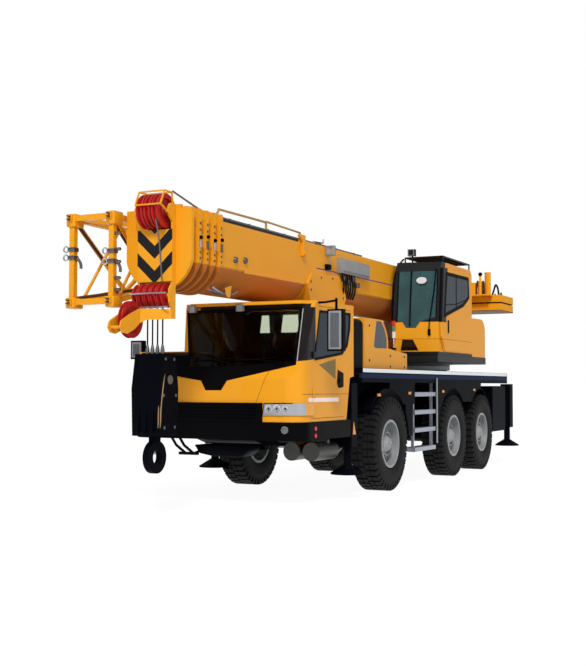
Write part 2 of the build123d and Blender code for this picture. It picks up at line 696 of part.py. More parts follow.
GRILLE_HALF = 715
GRILLE_TOP = 1318
BELT_DEPTH = (4, GLASS_DEPTH + GLASS_T)
with BuildPart() as belt:
    add(cab_solid(BELT_DEPTH[0], BELT_DEPTH[0]))
    add(cab_solid(BELT_DEPTH[1], BELT_DEPTH[1]), mode=Mode.SUBTRACT)
    with BuildSketch(Plane.YZ.offset(FRONT_X[0])) as belt_face:
        Polygon(*FRONT_OPENING, align=None)
        offset(amount=-SEAT, kind=Kind.INTERSECTION, mode=Mode.REPLACE)
        Polygon(*WINDSCREEN, align=None, mode=Mode.SUBTRACT)
    extrude(belt_face.sketch, amount=FRONT_X[1] - FRONT_X[0], mode=Mode.INTERSECT)
with BuildPart() as grille:
    add(front_band(26, CAB_BOTTOM, GRILLE_TOP))
    add(front_band(SEAT, CAB_BOTTOM, GRILLE_TOP), mode=Mode.SUBTRACT)
    block((CAB_FRONT - 300, CAB_FRONT + 50), (-GRILLE_HALF, GRILLE_HALF), (CAB_BOTTOM + SEAT, GRILLE_TOP), mode=Mode.INTERSECT)
    for z in range(1115, 1300, 40):
        block((CAB_FRONT + 12, CAB_FRONT + 50), (-640, 640), (z, z + 20), mode=Mode.SUBTRACT)
front_panels = Compound(children=[*grille.part.solids(), *belt.part.solids()])
save(front_panels, "front_grille")

LAMP_LOW = 718
LAMP_HIGH = 742
LAMP_Z = (1165, 1318)
with BuildPart() as headlamps:
    add(front_band(20, *LAMP_Z))
    add(front_band(SEAT, *LAMP_Z), mode=Mode.SUBTRACT)
    block((CAB_REAR - 100, CAB_FRONT - 330), (-CAB_HALF - 50, CAB_HALF + 50), LAMP_Z, mode=Mode.SUBTRACT)
    lamp_ends = [(-LAMP_LOW, LAMP_Z[0]), (-LAMP_HIGH, LAMP_Z[1]), (LAMP_HIGH, LAMP_Z[1]), (LAMP_LOW, LAMP_Z[0])]
    cross_plate(lamp_ends, CAB_FRONT - 400, CAB_FRONT + 100, mode=Mode.SUBTRACT)
save(headlamps.part, "headlamps")

ARM_R = 14
ARM_Z = 2590
LEFT_MIRROR = ((3790, 3870), (1490, 1705), (1960, 2480))
RIGHT_MIRROR = ((3560, 3640), (-1600, -1400), (1895, 2150))
with BuildPart() as mirrors:
    arm_x = sum(LEFT_MIRROR[0]) / 2
    arm_y = sum(LEFT_MIRROR[1]) / 2
    block(*LEFT_MIRROR)
    rod((arm_x, arm_y, LEFT_MIRROR[2][1]), (arm_x, arm_y, ARM_Z + 2 * ARM_R), ARM_R + 2)
    rod((arm_x, arm_y, ARM_Z), (3600, 1330, ARM_Z), ARM_R)
    rod((3605, 1340, ARM_Z), (3605, CAB_HALF + SEAT, ARM_Z), ARM_R)
    block(*RIGHT_MIRROR)
    right_x = sum(RIGHT_MIRROR[0]) / 2
    rod((right_x, -CAB_HALF - SEAT, 1940), (right_x, RIGHT_MIRROR[1][1] - 10, 1940), ARM_R)
save(mirrors.part, "carrier_mirrors")

# ---- turntable: ring, slab and the two cheeks that carry boom, cylinder and counterweight
BULKHEAD = 25
BULKHEAD_Z = (3080, 3330)
CHEEK = [
    (-1250, TABLE_TOP), (-1250, 2250), (-2500, 2500), (-3700, 3150), (-4250, 3420), (-4900, 3420),
    (CW_FRONT, BULKHEAD_Z[1]), (CW_FRONT, BULKHEAD_Z[0]), (-5000, 3000), (-4300, 2150), (-4100, TABLE_TOP),
]
with BuildPart() as turntable:
    upright(SLEW_X, 0, TABLE_BOTTOM, OP_BASE, RING_R)
    upright(SLEW_X, 0, FRAME_TOP + 20, TABLE_BOTTOM, 300)
    block((-4200, SLEW_X + 1150), (-CHEEK_OUT, CHEEK_OUT), (OP_BASE, TABLE_TOP))
    for sign in SIDES.values():
        side_plate(CHEEK, *sorted((sign * CHEEK_IN, sign * CHEEK_OUT)))
        low, high = sorted((sign * CHEEK_IN, sign * CHEEK_OUT))
        cross_pin(PIVOT_X, PIVOT_Z, low, high, PIVOT_R + PIN_GAP, mode=Mode.SUBTRACT)
        cross_pin(FOOT_X, FOOT_Z, low, high, EYE_PIN_R + PIN_GAP, mode=Mode.SUBTRACT)
    block((CW_FRONT, CW_FRONT + BULKHEAD), (-CHEEK_OUT, CHEEK_OUT), BULKHEAD_Z)
save(turntable.part, "turntable")

with BuildPart() as counterweight:
    slab = [(CW_REAR, -CW_HALF), (CW_REAR, CW_HALF), (CW_FRONT, CW_HALF), (CW_FRONT, -CW_HALF)]
    plan_plate(slab, *CW_Z)
    fillet(counterweight.edges().filter_by(Axis.Z).group_by(Axis.X)[0], CW_R)
    with BuildSketch(Plane.XY.offset((CW_Z[0] + CW_Z[1] - CW_GROOVE) / 2)) as groove:
        length, width = CW_FRONT - CW_REAR, 2 * CW_HALF
        with Locations(((CW_REAR + CW_FRONT) / 2, 0)):
            Rectangle(length + CW_GROOVE, width + CW_GROOVE)
            RectangleRounded(length - 2 * CW_GROOVE, width - 2 * CW_GROOVE, CW_R - CW_GROOVE, mode=Mode.SUBTRACT)
    extrude(groove.sketch, amount=CW_GROOVE, mode=Mode.SUBTRACT)
    upright(CW_FRONT - POST_R - 20, 890, CW_Z[1], POST_TOP, POST_R)
save(counterweight.part, "counterweight")

with BuildPart() as side_cover:
    cover = [(-3120, OP_FLOOR), (-3120, 2700), (-3300, COVER_TOP), (COVER_REAR, COVER_TOP), (COVER_REAR, OP_FLOOR)]
    side_plate(cover, CHEEK_OUT, OP_OUT - 30)
    fillet(side_cover.edges().filter_by(Axis.Y).sort_by(lambda edge: edge.center().X - edge.center().Z)[0], COVER_R)
    base_front = OP_FRONT - 40
    base = [
        (COVER_REAR, CHEEK_OUT), (COVER_REAR, OP_OUT - 20), (base_front, OP_OUT - 20), (base_front + OP_BULGE, CHEEK_OUT),
    ]
    plan_plate(base, OP_BASE, OP_FLOOR)
save(side_cover.part, "upper_deck_cover")

with BuildPart() as winch:
    cross_pin(WINCH_X, WINCH_Z, -WINCH_HALF, WINCH_HALF, WINCH_R)
    for y in (-WINCH_HALF - WINCH_FLANGE_T, WINCH_HALF):
        cross_pin(WINCH_X, WINCH_Z, y, y + WINCH_FLANGE_T, WINCH_FLANGE_R)
    cross_pin(WINCH_X, WINCH_Z, -CHEEK_IN + PIN_GAP, CHEEK_IN - PIN_GAP, 60)
save(winch.part, "winch_drum")


# ---- operator's cab: straight at the rear, its front swept forward towards the boom
OP_JOIN = -1900  # where the straight rear meets the swept front
OP_FRONT_LINE = [
    (OP_FRONT - 210, OP_ROOF),
    (OP_FRONT - 105, 3480),
    (OP_FRONT, 2660),
    (OP_FRONT, 2300),
    (OP_FRONT - 20, OP_FLOOR),
]


def op_form(inset, y_inset):
    """Adds the cab's form, inset from the outside."""
    y_low, y_high = OP_IN + y_inset, OP_OUT - y_inset
    roof, floor = OP_ROOF - inset, OP_FLOOR + inset
    back = OP_REAR + inset
    rear = [(back, floor), (back, roof - 80), (back + 80, roof), (OP_JOIN, roof), (OP_JOIN, floor)]
    sweep = OP_BULGE / (OP_OUT - OP_IN)
    shift = sweep * (OP_OUT - y_low)
    front = [(x - inset + shift, min(max(z, floor), roof)) for x, z in OP_FRONT_LINE]
    front += [(OP_JOIN + shift, floor), (OP_JOIN + shift, roof)]
    run = Vector(-sweep * (y_high - y_low), y_high - y_low, 0)
    with BuildPart() as form:
        side_plate(rear, y_low, y_high)
        extrude(side_face(front, y_low), amount=run.length, dir=run.normalized())
        block((OP_JOIN, OP_JOIN + shift + 1), (y_low, y_high), (floor, roof))
    return form.part


OP_GLASS_X = (-1450, OP_FRONT + OP_BULGE + 50)
OP_WINDSCREEN = [
    (OP_IN + 50, 2600), (612, 2613), (685, 2500), (847, 2496), (921, 2605), (OP_OUT - 25, 2684), (OP_OUT - 25, 3472),
    (OP_IN + 50, 3472),
]
OP_FOOT_WINDOW = [(624, 2308), (802, 2305), (890, 2120), (590, 2120)]
OP_DOOR = [(-2800, 2140), (-1420, 2140), (-1285, 2360), (-1280, 2640), (-1375, 3500), (-2800, 3500)]
OP_DOOR_WINDOW = [(-2730, 3473), (-1477, 3461), (-1345, 2678), (-2423, 2930), (-2768, 3102)]
OP_INNER_X = (-2900, -1700)  # the window beside the boom
OP_INNER_Z = (2800, 3450)
GUARD_R = 13
GUARD_X = (-3000, -1520)
GUARD_Z = OP_ROOF + 110
with BuildPart() as op_shell:
    add(op_form(0, 0))
    add(op_form(OP_WALL, OP_WALL), mode=Mode.SUBTRACT)
    for opening in (OP_WINDSCREEN, OP_FOOT_WINDOW):
        cross_plate(opening, *OP_GLASS_X, mode=Mode.SUBTRACT)
    extrude(side_face(OP_DOOR, OP_OUT - OP_WALL - 10), amount=-OP_WALL - 20, mode=Mode.SUBTRACT)
    block(OP_INNER_X, (OP_IN - 10, OP_IN + OP_WALL + 10), OP_INNER_Z, mode=Mode.SUBTRACT)
    block((OP_REAR, -1400), (OP_OUT, OP_OUT + RUNNING - SEAT), (2118, 2134))
    guard_y = (OP_IN + 30, OP_OUT - 30)
    for x in GUARD_X:
        rod((x, guard_y[0], GUARD_Z), (x, guard_y[1], GUARD_Z), GUARD_R)
        for y in guard_y:
            upright(x, y, OP_ROOF - 10, GUARD_Z, GUARD_R)
    for y in guard_y:
        rod((GUARD_X[0], y, GUARD_Z), (GUARD_X[1], y, GUARD_Z), GUARD_R)
    upright(-1330, 710, OP_ROOF - 10, GUARD_Z + 10, GUARD_R)
    block((-1345, -1255), (650, 770), (GUARD_Z, GUARD_Z + 115))
save(op_shell.part, "operator_cab_shell")
with BuildPart() as op_glass:
    add(op_form(GLASS_DEPTH, OP_WALL / 2 - 12))
    add(op_form(GLASS_DEPTH + GLASS_T, OP_WALL / 2 - 30), mode=Mode.SUBTRACT)
    with BuildSketch(Plane.YZ.offset(OP_GLASS_X[0])) as pane:
        for opening in (OP_WINDSCREEN, OP_FOOT_WINDOW):
            Polygon(*opening, align=None)
        offset(amount=-SEAT, kind=Kind.INTERSECTION, mode=Mode.REPLACE)
    extrude(pane.sketch, amount=OP_GLASS_X[1] - OP_GLASS_X[0], mode=Mode.INTERSECT)
    inner_x = (OP_INNER_X[0] + SEAT, OP_INNER_X[1] - SEAT)
    inner_z = (OP_INNER_Z[0] + SEAT, OP_INNER_Z[1] - SEAT)
    block(inner_x, (OP_IN + GLASS_DEPTH, OP_IN + GLASS_DEPTH + GLASS_T), inner_z)
save(op_glass.part, "operator_cab_glass")
with BuildPart() as op_door:
    with BuildSketch(Plane.XZ.offset(-(OP_OUT + RUNNING))) as op_door_face:
        Polygon(*OP_DOOR, align=None)
        offset(amount=25, kind=Kind.INTERSECTION, mode=Mode.REPLACE)
        Polygon(*OP_DOOR_WINDOW, align=None, mode=Mode.SUBTRACT)
    extrude(op_door_face.sketch, amount=-OP_DOOR_T)
    extrude(outline_shrunk(OP_DOOR_WINDOW, OP_OUT + RUNNING + 15, SEAT), amount=-GLASS_T)
save(op_door.part, "operator_cab_door")
with BuildPart() as op_interior:
    seat_y = (OP_IN + OP_OUT) / 2
    block((-2750, -2250), (seat_y - 230, seat_y + 230), (OP_FLOOR + OP_WALL, 2560))
    block((-2850, -2720), (seat_y - 230, seat_y + 230), (2560, 3200))
save(op_interior.part, "operator_cab_interior")

# ---- luffing cylinder, built along its axis from the foot pin to the rod's eye
luff_run = Vector(EYE_X - FOOT_X, 0, EYE_Z - FOOT_Z)
LUFF_CLOSED = luff_run.length
luff_dir = luff_run.normalized()


def along(distance):
    point = Vector(FOOT_X, 0, FOOT_Z) + luff_dir * distance
    return (point.X, 0, point.Z)


with BuildPart() as barrel:
    rod(along(150), along(BARREL_LENGTH), BARREL_R)
    cross_pin(FOOT_X, FOOT_Z, -150, 150, BARREL_R)
    rod(along(0), along(BORE_FROM), 80)
    rod(along(BORE_FROM), along(BARREL_LENGTH), ROD_BORE_R, mode=Mode.SUBTRACT)
    cross_pin(FOOT_X, FOOT_Z, -CHEEK_OUT, CHEEK_OUT, EYE_PIN_R)
save(barrel.part, "luff_barrel")
with BuildPart() as luff_rod:
    rod(along(BORE_FROM + 200), along(LUFF_CLOSED), ROD_R)
    cross_pin(EYE_X, EYE_Z, -LUG_IN + RUNNING, LUG_IN - RUNNING, EYE_R)
save(luff_rod.part, "luff_rod")


# ---- boom: a base and telescoping sections that nest inside it, each with a collar at its front
def section_face(index, x, grow=0):
    """Boom cross-section: straight sides and a round belly."""
    half = BOOM_HALF - index * NEST + grow
    top = BOOM_TOP - index * NEST + grow
    bottom = BOOM_BOTTOM + index * NEST - grow
    with BuildSketch(Plane.YZ.offset(x)) as face:
        with BuildLine():
            Polyline((-half, BOOM_FOLD), (-half, top), (half, top), (half, BOOM_FOLD))
            ThreePointArc((half, BOOM_FOLD), (0, bottom), (-half, BOOM_FOLD))
        make_face()
    return face.sketch


def boom_tube(index, rear, front):
    """Adds a hollow section with its collar, whose mouth guides the next section."""
    extrude(section_face(index, rear), amount=front - rear)
    extrude(section_face(index, rear, -BOOM_WALL), amount=front - rear, mode=Mode.SUBTRACT)


def collar(index, front):
    """Adds the guide frame at a section's mouth."""
    extrude(section_face(0, front, COLLAR_GROW), amount=COLLAR_T)
    block((front, front + COLLAR_T), (-COLLAR_TOP_HALF, COLLAR_TOP_HALF), (BOOM_TOP, COLLAR_TOP))
    if index < SECTIONS:
        extrude(section_face(index + 1, front, PIN_GAP), amount=COLLAR_T, mode=Mode.SUBTRACT)


SADDLE_HALF = BOOM_HALF + 30
SADDLE = [(900, 2860), (950, 3010), (1150, 3190), (2110, 3140), (2260, 2980), (2150, 2720), (1010, LUG_TOP)]
with BuildPart() as boom_base:
    side_plate(SADDLE, -SADDLE_HALF, SADDLE_HALF)
    boom_tube(0, BOOM_REAR, BOOM_FRONT)
    collar(0, BOOM_FRONT)
    cross_pin(PIVOT_X, PIVOT_Z, -CHEEK_OUT, CHEEK_OUT, PIVOT_R)
    for sign in SIDES.values():
        lug = sorted((sign * LUG_IN, sign * LUG_OUT))
        lug_low = EYE_Z - EYE_R - 4
        lug_high = LUG_TOP + 8
        lug_side = [(EYE_X - 260, lug_high), (EYE_X - 90, lug_low), (EYE_X + 90, lug_low), (EYE_X + 260, lug_high)]
        side_plate(lug_side, *lug)
save(boom_base.part, "boom_base")

# the head: side plates with ears for the sheave pins, a plate across their front, and two arms for the nose sheave
HEAD_REAR = BOOM_FRONT + SECTIONS * SECTION_STEP + COLLAR_T
HEAD_INNER = HEAD_HALF - HEAD_PLATE_T
SIGN_T = 15
HEAD_SIDE = [
    (HEAD_REAR, HEAD_LOW), (HEAD_REAR, COLLAR_TOP), (5500, COLLAR_TOP), (5545, 3600), (5545, 3530), (5500, 3480),
    (HEAD_FRONT - SIGN_T, 3440), (HEAD_FRONT - SIGN_T, 2720), (5510, 2650), (5510, 2510), (HEAD_FRONT - SIGN_T, 2418),
    (HEAD_FRONT - SIGN_T, HEAD_LOW),
]
ARM = [
    (HEAD_REAR, HEAD_LOW), (HEAD_REAR, 2418), (5700, 2418), (5900, 2340), (6060, 2260), (NOSE_TIP, 2190),
    (6040, 2130), (5940, 2120), (5800, 2180), (5650, 2290),
]
ARM_BEND = 5700  # where the arms have closed in beside the nose sheave
SHEAVE_CUT = (-100, HEAD_INNER)  # where the top sheaves pass through the head
TOP_CUT = TOP_SHEAVE_Z - TOP_SHEAVE_R - 10
LOW_CUT = SHEAVE_Z + SHEAVE_R + 10
for index in range(1, SECTIONS + 1):
    rear = SECTION_REAR + (index - 1) * 60
    front = BOOM_FRONT + index * SECTION_STEP
    with BuildPart() as section:
        boom_tube(index, rear, front)
        collar(index, front)
        if index == SECTIONS:
            block((front, HEAD_REAR), SHEAVE_CUT, (TOP_CUT, COLLAR_TOP), mode=Mode.SUBTRACT)
            low_cut_z = (BOOM_BOTTOM - COLLAR_GROW, LOW_CUT)
            block((front, HEAD_REAR), (-HEAD_INNER, HEAD_INNER), low_cut_z, mode=Mode.SUBTRACT)
            for side in (-1, 1):
                side_plate(HEAD_SIDE, *sorted((side * HEAD_INNER, side * HEAD_HALF)))
            block((HEAD_FRONT - SIGN_T, HEAD_FRONT), (-HEAD_HALF, HEAD_HALF), (LOW_CUT + 10, TOP_CUT))
            block((HEAD_FRONT - SIGN_T, HEAD_FRONT), (-HEAD_HALF, SHEAVE_CUT[0]), (TOP_CUT, COLLAR_TOP))
            left_in, right_in = NOSE_Y + NOSE_HALF, NOSE_Y - NOSE_HALF
            with BuildPart(mode=Mode.PRIVATE) as arms:
                for side, inner in ((1, left_in), (-1, right_in)):
                    outer = inner + side * NOSE_PLATE_T
                    arm_plan = [
                        (HEAD_REAR, side * HEAD_HALF), (HEAD_FRONT, side * HEAD_HALF), (ARM_BEND, outer), (NOSE_TIP, outer),
                        (NOSE_TIP, inner), (ARM_BEND - 5, inner), (HEAD_FRONT - 5, side * HEAD_INNER),
                        (HEAD_REAR, side * HEAD_INNER),
                    ]
                    plan_plate(arm_plan, 2000, 2500)
                extrude(side_face(ARM, -HEAD_HALF), amount=-2 * HEAD_HALF, mode=Mode.INTERSECT)
            add(arms.part)
            for x, z, radius in ((TOP_SHEAVE_X, TOP_SHEAVE_Z, 30), (SHEAVE_X, SHEAVE_Z, 30)):
                cross_pin(x, z, -HEAD_HALF, HEAD_HALF, radius)
            for x, z, radius in ((NOSE_X, NOSE_Z, 25), (6035, 2190, 18)):
                cross_pin(x, z, right_in - NOSE_PLATE_T, left_in + NOSE_PLATE_T, radius)
            hoop = [(5440, COLLAR_TOP - 10), (5460, 3785), (5620, 3785), (5700, 3620), (5520, 3530)]
            for y in (SHEAVE_CUT[0] - 20, HEAD_INNER + 12):
                for start, end in zip(hoop, hoop[1:]):
                    strut((start[0], y, start[1]), (end[0], y, end[1]), 16)
            for x, z in hoop[1:4]:
                block((x - 8, x + 8), (SHEAVE_CUT[0] - 20, HEAD_INNER + 12), (z - 8, z + 8))
    save(section.part, f"boom_section_{index}" if index < SECTIONS else "boom_head_section")

with BuildPart() as sheaves:
    for x, z, radius, pin, count, y_from, step, thick in (
        # X, Z, radius, pin radius, number, first side, step and thickness
        (TOP_SHEAVE_X, TOP_SHEAVE_Z, TOP_SHEAVE_R, 30, 3, -85, 105, 90),
        (SHEAVE_X, SHEAVE_Z, SHEAVE_R, 30, 5, -206, 84, 78),
        (NOSE_X, NOSE_Z, NOSE_R, 25, 1, NOSE_Y - 30, 0, 60),
    ):
        for number in range(count):
            y = y_from + number * step
            cross_pin(x, z, y, y + thick, radius)
            cross_pin(x, z, y, y + thick, pin + PIN_GAP, mode=Mode.SUBTRACT)
save(sheaves.part, "head_sheaves")

# ---- hook block and its rope falls
with BuildPart() as hook:
    for y in ROPE_Y:
        upright(SHEAVE_X, y, HOOK_TOP, SHEAVE_Z - SHEAVE_R - PIN_GAP, ROPE_R)
    right_half = [(SHEAVE_X + 120, HOOK_TOP), (SHEAVE_X + 190, 1500), (SHEAVE_X + 170, HOOK_LOW)]
    left_half = [(2 * SHEAVE_X - x, z) for x, z in reversed(right_half)]
    side_plate(right_half + left_half, -HOOK_HALF, HOOK_HALF)
    upright(SHEAVE_X, 0, BOWL_Z + BOWL_R - 10, HOOK_LOW, 70)
    cross_pin(SHEAVE_X, BOWL_Z, -BOWL_HALF, BOWL_HALF, BOWL_R)
    cross_pin(SHEAVE_X, BOWL_Z, -BOWL_HALF, BOWL_HALF, BOWL_R - 100, mode=Mode.SUBTRACT)
save(hook.part, "hook_block")

# ---- lattice jib, folded along the boom's right side
JIB_FRONT = 5600
JIB_REAR = -400
JIB_KNEE = 1 / 6  # share of the length where the low chords turn down to the front
JIB_CHORDS = {
    # name: Y and Z at the front, at the knee and at the rear
    "top_out": ((-1080, 3540), (-1027, 3520), (-760, 3420)),
    "top_in": ((-505, 3540), (-560, 3520), (-560, 3420)),
    "low_out": ((-1080, 2530), (-1027, 2740), (-760, 3120)),
    "low_in": ((-505, 2530), (-560, 2740), (-560, 3120)),
}
CHORD = 70
LACING = 42
PANELS = 6


def chord_point(name, share):
    """A point along a chord, from 0 at the front to 1 at the rear."""
    front, knee, rear = JIB_CHORDS[name]
    if share <= JIB_KNEE:
        low, high, part = front, knee, share / JIB_KNEE
    else:
        low, high, part = knee, rear, (share - JIB_KNEE) / (1 - JIB_KNEE)
    x = JIB_FRONT + (JIB_REAR - JIB_FRONT) * share
    return (x, low[0] + (high[0] - low[0]) * part, low[1] + (high[1] - low[1]) * part)


def chord_bars(name, size, mode=Mode.ADD):
    """Adds a chord as two straight bars."""
    strut(chord_point(name, 0), chord_point(name, JIB_KNEE), size, mode=mode)
    strut(chord_point(name, JIB_KNEE), chord_point(name, 1), size, mode=mode)


JIB_SIDES = (("top_out", "low_out"), ("top_in", "low_in"))
JIB_LEVELS = (("top_out", "top_in"), ("low_out", "low_in"))
JIB_BRACKET_X = (400, 3600)
JIB_BRACKET = 60
EAR_REACH = 85
EAR_GAP = 18
WHOLE_BAR = 100_000  # mm3, more than the crumbs that the chords leave when they are cut from the bars
with BuildPart() as jib_bars:
    for a, b in JIB_LEVELS:
        for step in range(PANELS):
            first, second = (a, b) if step % 2 == 0 else (b, a)
            strut(chord_point(first, step / PANELS), chord_point(second, (step + 1) / PANELS), LACING)
        strut(chord_point(a, 0), chord_point(b, 0), CHORD)
        strut(chord_point(a, 1), chord_point(b, 1), LACING)
    for name in JIB_CHORDS:
        chord_bars(name, CHORD + 2 * SEAT, mode=Mode.SUBTRACT)
        corner = [(middle - CHORD / 2 - SEAT, middle + CHORD / 2 + SEAT) for middle in chord_point(name, 0)]
        block(*corner, mode=Mode.SUBTRACT)
    for a, b in JIB_SIDES:
        strut(chord_point(a, 0), chord_point(b, 0), CHORD + 2 * SEAT, mode=Mode.SUBTRACT)
        strut(chord_point(a, 1), chord_point(b, 1), LACING + 2 * SEAT, mode=Mode.SUBTRACT)
with BuildPart() as jib_frames:
    for a, b in JIB_SIDES:
        for name in (a, b):
            chord_bars(name, CHORD)
            ear_x, ear_y, ear_z = chord_point(name, 0)
            for side in (-1, 1):
                ear_sides = sorted((ear_y + side * EAR_GAP, ear_y + side * CHORD / 2))
                block((ear_x, ear_x + EAR_REACH), ear_sides, (ear_z - CHORD / 2, ear_z + CHORD / 2))
        for step in range(PANELS):
            first, second = (a, b) if step % 2 == 0 else (b, a)
            strut(chord_point(first, step / PANELS), chord_point(second, (step + 1) / PANELS), LACING)
        strut(chord_point(a, 0), chord_point(b, 0), CHORD)
        strut(chord_point(a, 1), chord_point(b, 1), LACING)
    for x in JIB_BRACKET_X:
        share = (JIB_FRONT - x) / (JIB_FRONT - JIB_REAR)
        point = chord_point("top_in", share)
        strut(point, (x, -BOOM_HALF - SEAT, point[2]), JIB_BRACKET)
cross_bars = [bar for bar in jib_bars.part.solids() if bar.volume > WHOLE_BAR]
outer_frame, inner_frame = jib_frames.part.solids().sort_by(Axis.Y)
jib = Compound(children=[outer_frame, *cross_bars])
save(jib, "lattice_jib")
save(inner_frame, "lattice_jib_inner_side")
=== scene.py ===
# %% [markdown]
# # A three-axle mobile crane
#
# The crane's frame, joints and plain bodies come from the engineering model. This lesson gives every
# surface its finish and adds what makes the machine look real from a step away: tyre tread, wheel nuts,
# lamps, mirrors, guard rails, hoses, ropes, seats and glass seals. Places follow the model's own sizes,
# in metres, and where a surface is curved a ray finds it.

# %% Load the frame
import json
import math

import bpy
from mathutils import Matrix, Vector


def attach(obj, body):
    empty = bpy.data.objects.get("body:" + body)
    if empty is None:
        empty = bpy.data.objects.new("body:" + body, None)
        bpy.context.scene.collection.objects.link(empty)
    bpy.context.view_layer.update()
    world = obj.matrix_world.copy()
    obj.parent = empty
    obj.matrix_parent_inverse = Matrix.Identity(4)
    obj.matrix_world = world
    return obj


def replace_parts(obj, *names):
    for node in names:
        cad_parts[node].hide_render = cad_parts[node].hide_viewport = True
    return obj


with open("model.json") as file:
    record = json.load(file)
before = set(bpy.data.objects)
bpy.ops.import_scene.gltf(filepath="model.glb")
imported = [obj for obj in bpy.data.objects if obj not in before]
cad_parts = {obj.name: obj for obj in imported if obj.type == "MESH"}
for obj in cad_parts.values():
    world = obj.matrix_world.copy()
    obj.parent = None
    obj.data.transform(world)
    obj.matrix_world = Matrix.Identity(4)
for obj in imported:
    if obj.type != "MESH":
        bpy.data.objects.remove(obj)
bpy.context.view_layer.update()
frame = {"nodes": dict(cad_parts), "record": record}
nodes = frame["nodes"]

# %% [markdown]
# A shader is arithmetic on what a surface knows about itself: its place, its normal, a noise. Wiring
# Math nodes by hand hides the idea, so one small class wraps a socket and lets Python's own operators
# add the nodes. A second method adds any other node.


# %% Shader arithmetic
class Reading:
    """One number or vector that a shader works out; sums and products of it add Math nodes."""

    def __init__(self, finish, socket):
        self.finish = finish
        self.socket = socket

    def maths(self, operation, *values, clamp=False):
        node = self.finish.node("ShaderNodeMath", {"operation": operation, "use_clamp": clamp}, {})
        for place, value in enumerate(values):
            self.finish.feed(node.inputs[place], value)
        return Reading(self.finish, node.outputs[0])

    def __add__(self, other):
        return self.maths("ADD", self, other)

    def __sub__(self, other):
        return self.maths("SUBTRACT", self, other)

    def __rsub__(self, other):
        return self.maths("SUBTRACT", other, self)

    def __mul__(self, other):
        return self.maths("MULTIPLY", self, other)

    def __truediv__(self, other):
        return self.maths("DIVIDE", self, other)

    def __gt__(self, other):
        return self.maths("GREATER_THAN", self, other)

    def __lt__(self, other):
        return self.maths("LESS_THAN", self, other)

    def clamp(self):
        return self.maths("ADD", self, 0.0, clamp=True)

    def fract(self):
        return self.maths("FRACT", self)

    def size(self):
        return self.maths("ABSOLUTE", self)

    __radd__ = __add__
    __rmul__ = __mul__


class Finish:
    """A material under construction, with its Principled shader and its readings."""

    def __init__(self, name):
        self.material = bpy.data.materials.new(name)
        self.material.use_nodes = True
        self.tree = self.material.node_tree
        self.shader = self.tree.nodes["Principled BSDF"]

    def feed(self, socket, value):
        if isinstance(value, Reading):
            self.tree.links.new(value.socket, socket)
        else:
            socket.default_value = value

    def node(self, kind, settings, inputs):
        """Adds any node: its settings are set first, then the values or links of its sockets."""
        node = self.tree.nodes.new(kind)
        for key, value in settings.items():
            setattr(node, key, value)
        for key, value in inputs.items():
            self.feed(node.inputs[key], value)
        return node

    def read(self, kind, settings, inputs, output=0):
        return Reading(self, self.node(kind, settings, inputs).outputs[output])

    def place(self):
        """Where a point lies on the object, in metres."""
        return self.read("ShaderNodeTexCoord", {}, {}, "Object")

    def axes(self):
        split = self.node("ShaderNodeSeparateXYZ", {}, {"Vector": self.place()})
        return [Reading(self, split.outputs[axis]) for axis in range(3)]

    def facing(self):
        normal = self.read("ShaderNodeNewGeometry", {}, {}, "Normal")
        split = self.node("ShaderNodeSeparateXYZ", {}, {"Vector": normal})
        return [Reading(self, split.outputs[axis]) for axis in range(3)]

    def noise(self, scale, detail=3.0, stretch=(1, 1, 1)):
        spread = self.read("ShaderNodeMapping", {}, {"Vector": self.place(), "Scale": stretch})
        return self.read("ShaderNodeTexNoise", {}, {"Vector": spread, "Scale": scale, "Detail": detail})

    def colours(self, share, low, high):
        mix = self.node("ShaderNodeMix", {"data_type": "RGBA"}, {})
        self.feed(mix.inputs[0], share)
        for place, colour in ((6, low), (7, high)):
            self.feed(mix.inputs[place], colour if isinstance(colour, Reading) else (*colour, 1))
        return Reading(self, mix.outputs[2])

    def bump(self, height, distance, strength=1.0):
        sockets = {"Height": height, "Distance": distance, "Strength": strength}
        self.feed(self.shader.inputs["Normal"], self.read("ShaderNodeBump", {}, sockets))

    def set(self, **inputs):
        for key, value in inputs.items():
            socket = self.shader.inputs[key.replace("_", " ")]
            self.feed(socket, (*value, 1) if isinstance(value, tuple) and len(value) == 3 else value)
        return self.material


# %% [markdown]
# The crane's yellow is a two-layer enamel: an even coat with a faint orange-peel ripple, a clear gloss
# over it, and a film of road dust that settles low down and on what faces up. The dust is a share
# between two colours, driven by height and by a slow noise, so it never looks stamped. The other
# painted metals are the same enamel in another colour and gloss.


# %% Painted metal
DUST = (0.42, 0.35, 0.26)


def shift(colour, factor):
    return tuple(min(1.0, part * factor) for part in colour)


def enamel(
    name, colour, dusty=0.16, roughness=0.38, coat=0.06, metallic=0.0, marks=(), specular=0.22, ior=1.5
):
    paint = Finish(name)
    height = paint.axes()[2]
    upward = paint.facing()[2]
    patches = paint.noise(1.7, 5)
    low_down = (1.0 - height * 0.7).clamp()
    settled = low_down + (upward > 0.6) * 0.25 + 0.05
    film = ((patches - 0.42) * 2.0).clamp() * settled * dusty
    coat_tone = paint.colours(paint.noise(0.6, 2), shift(colour, 0.94), shift(colour, 1.05))
    for mask, mark_colour in marks:
        coat_tone = paint.colours(mask(*paint.axes()), coat_tone, mark_colour)
    ripple = paint.noise(150, 1) * 0.6 + paint.noise(9, 3) * 0.4
    paint.bump(ripple, 0.0006, 0.35)
    return paint.set(
        Base_Color=paint.colours(film.clamp(), coat_tone, DUST),
        Roughness=(film * 0.5 + (patches - 0.5) * 0.08 + roughness).clamp(),
        Metallic=metallic,
        Coat_Weight=coat,
        Coat_Roughness=0.12,
        Specular_IOR_Level=specular,
        IOR=ior,
    )


def within(reading, low, high):
    return (reading > low) * (reading < high)


def line_at(reading, middle, half_width=0.0035):
    return (reading - middle).size() < half_width


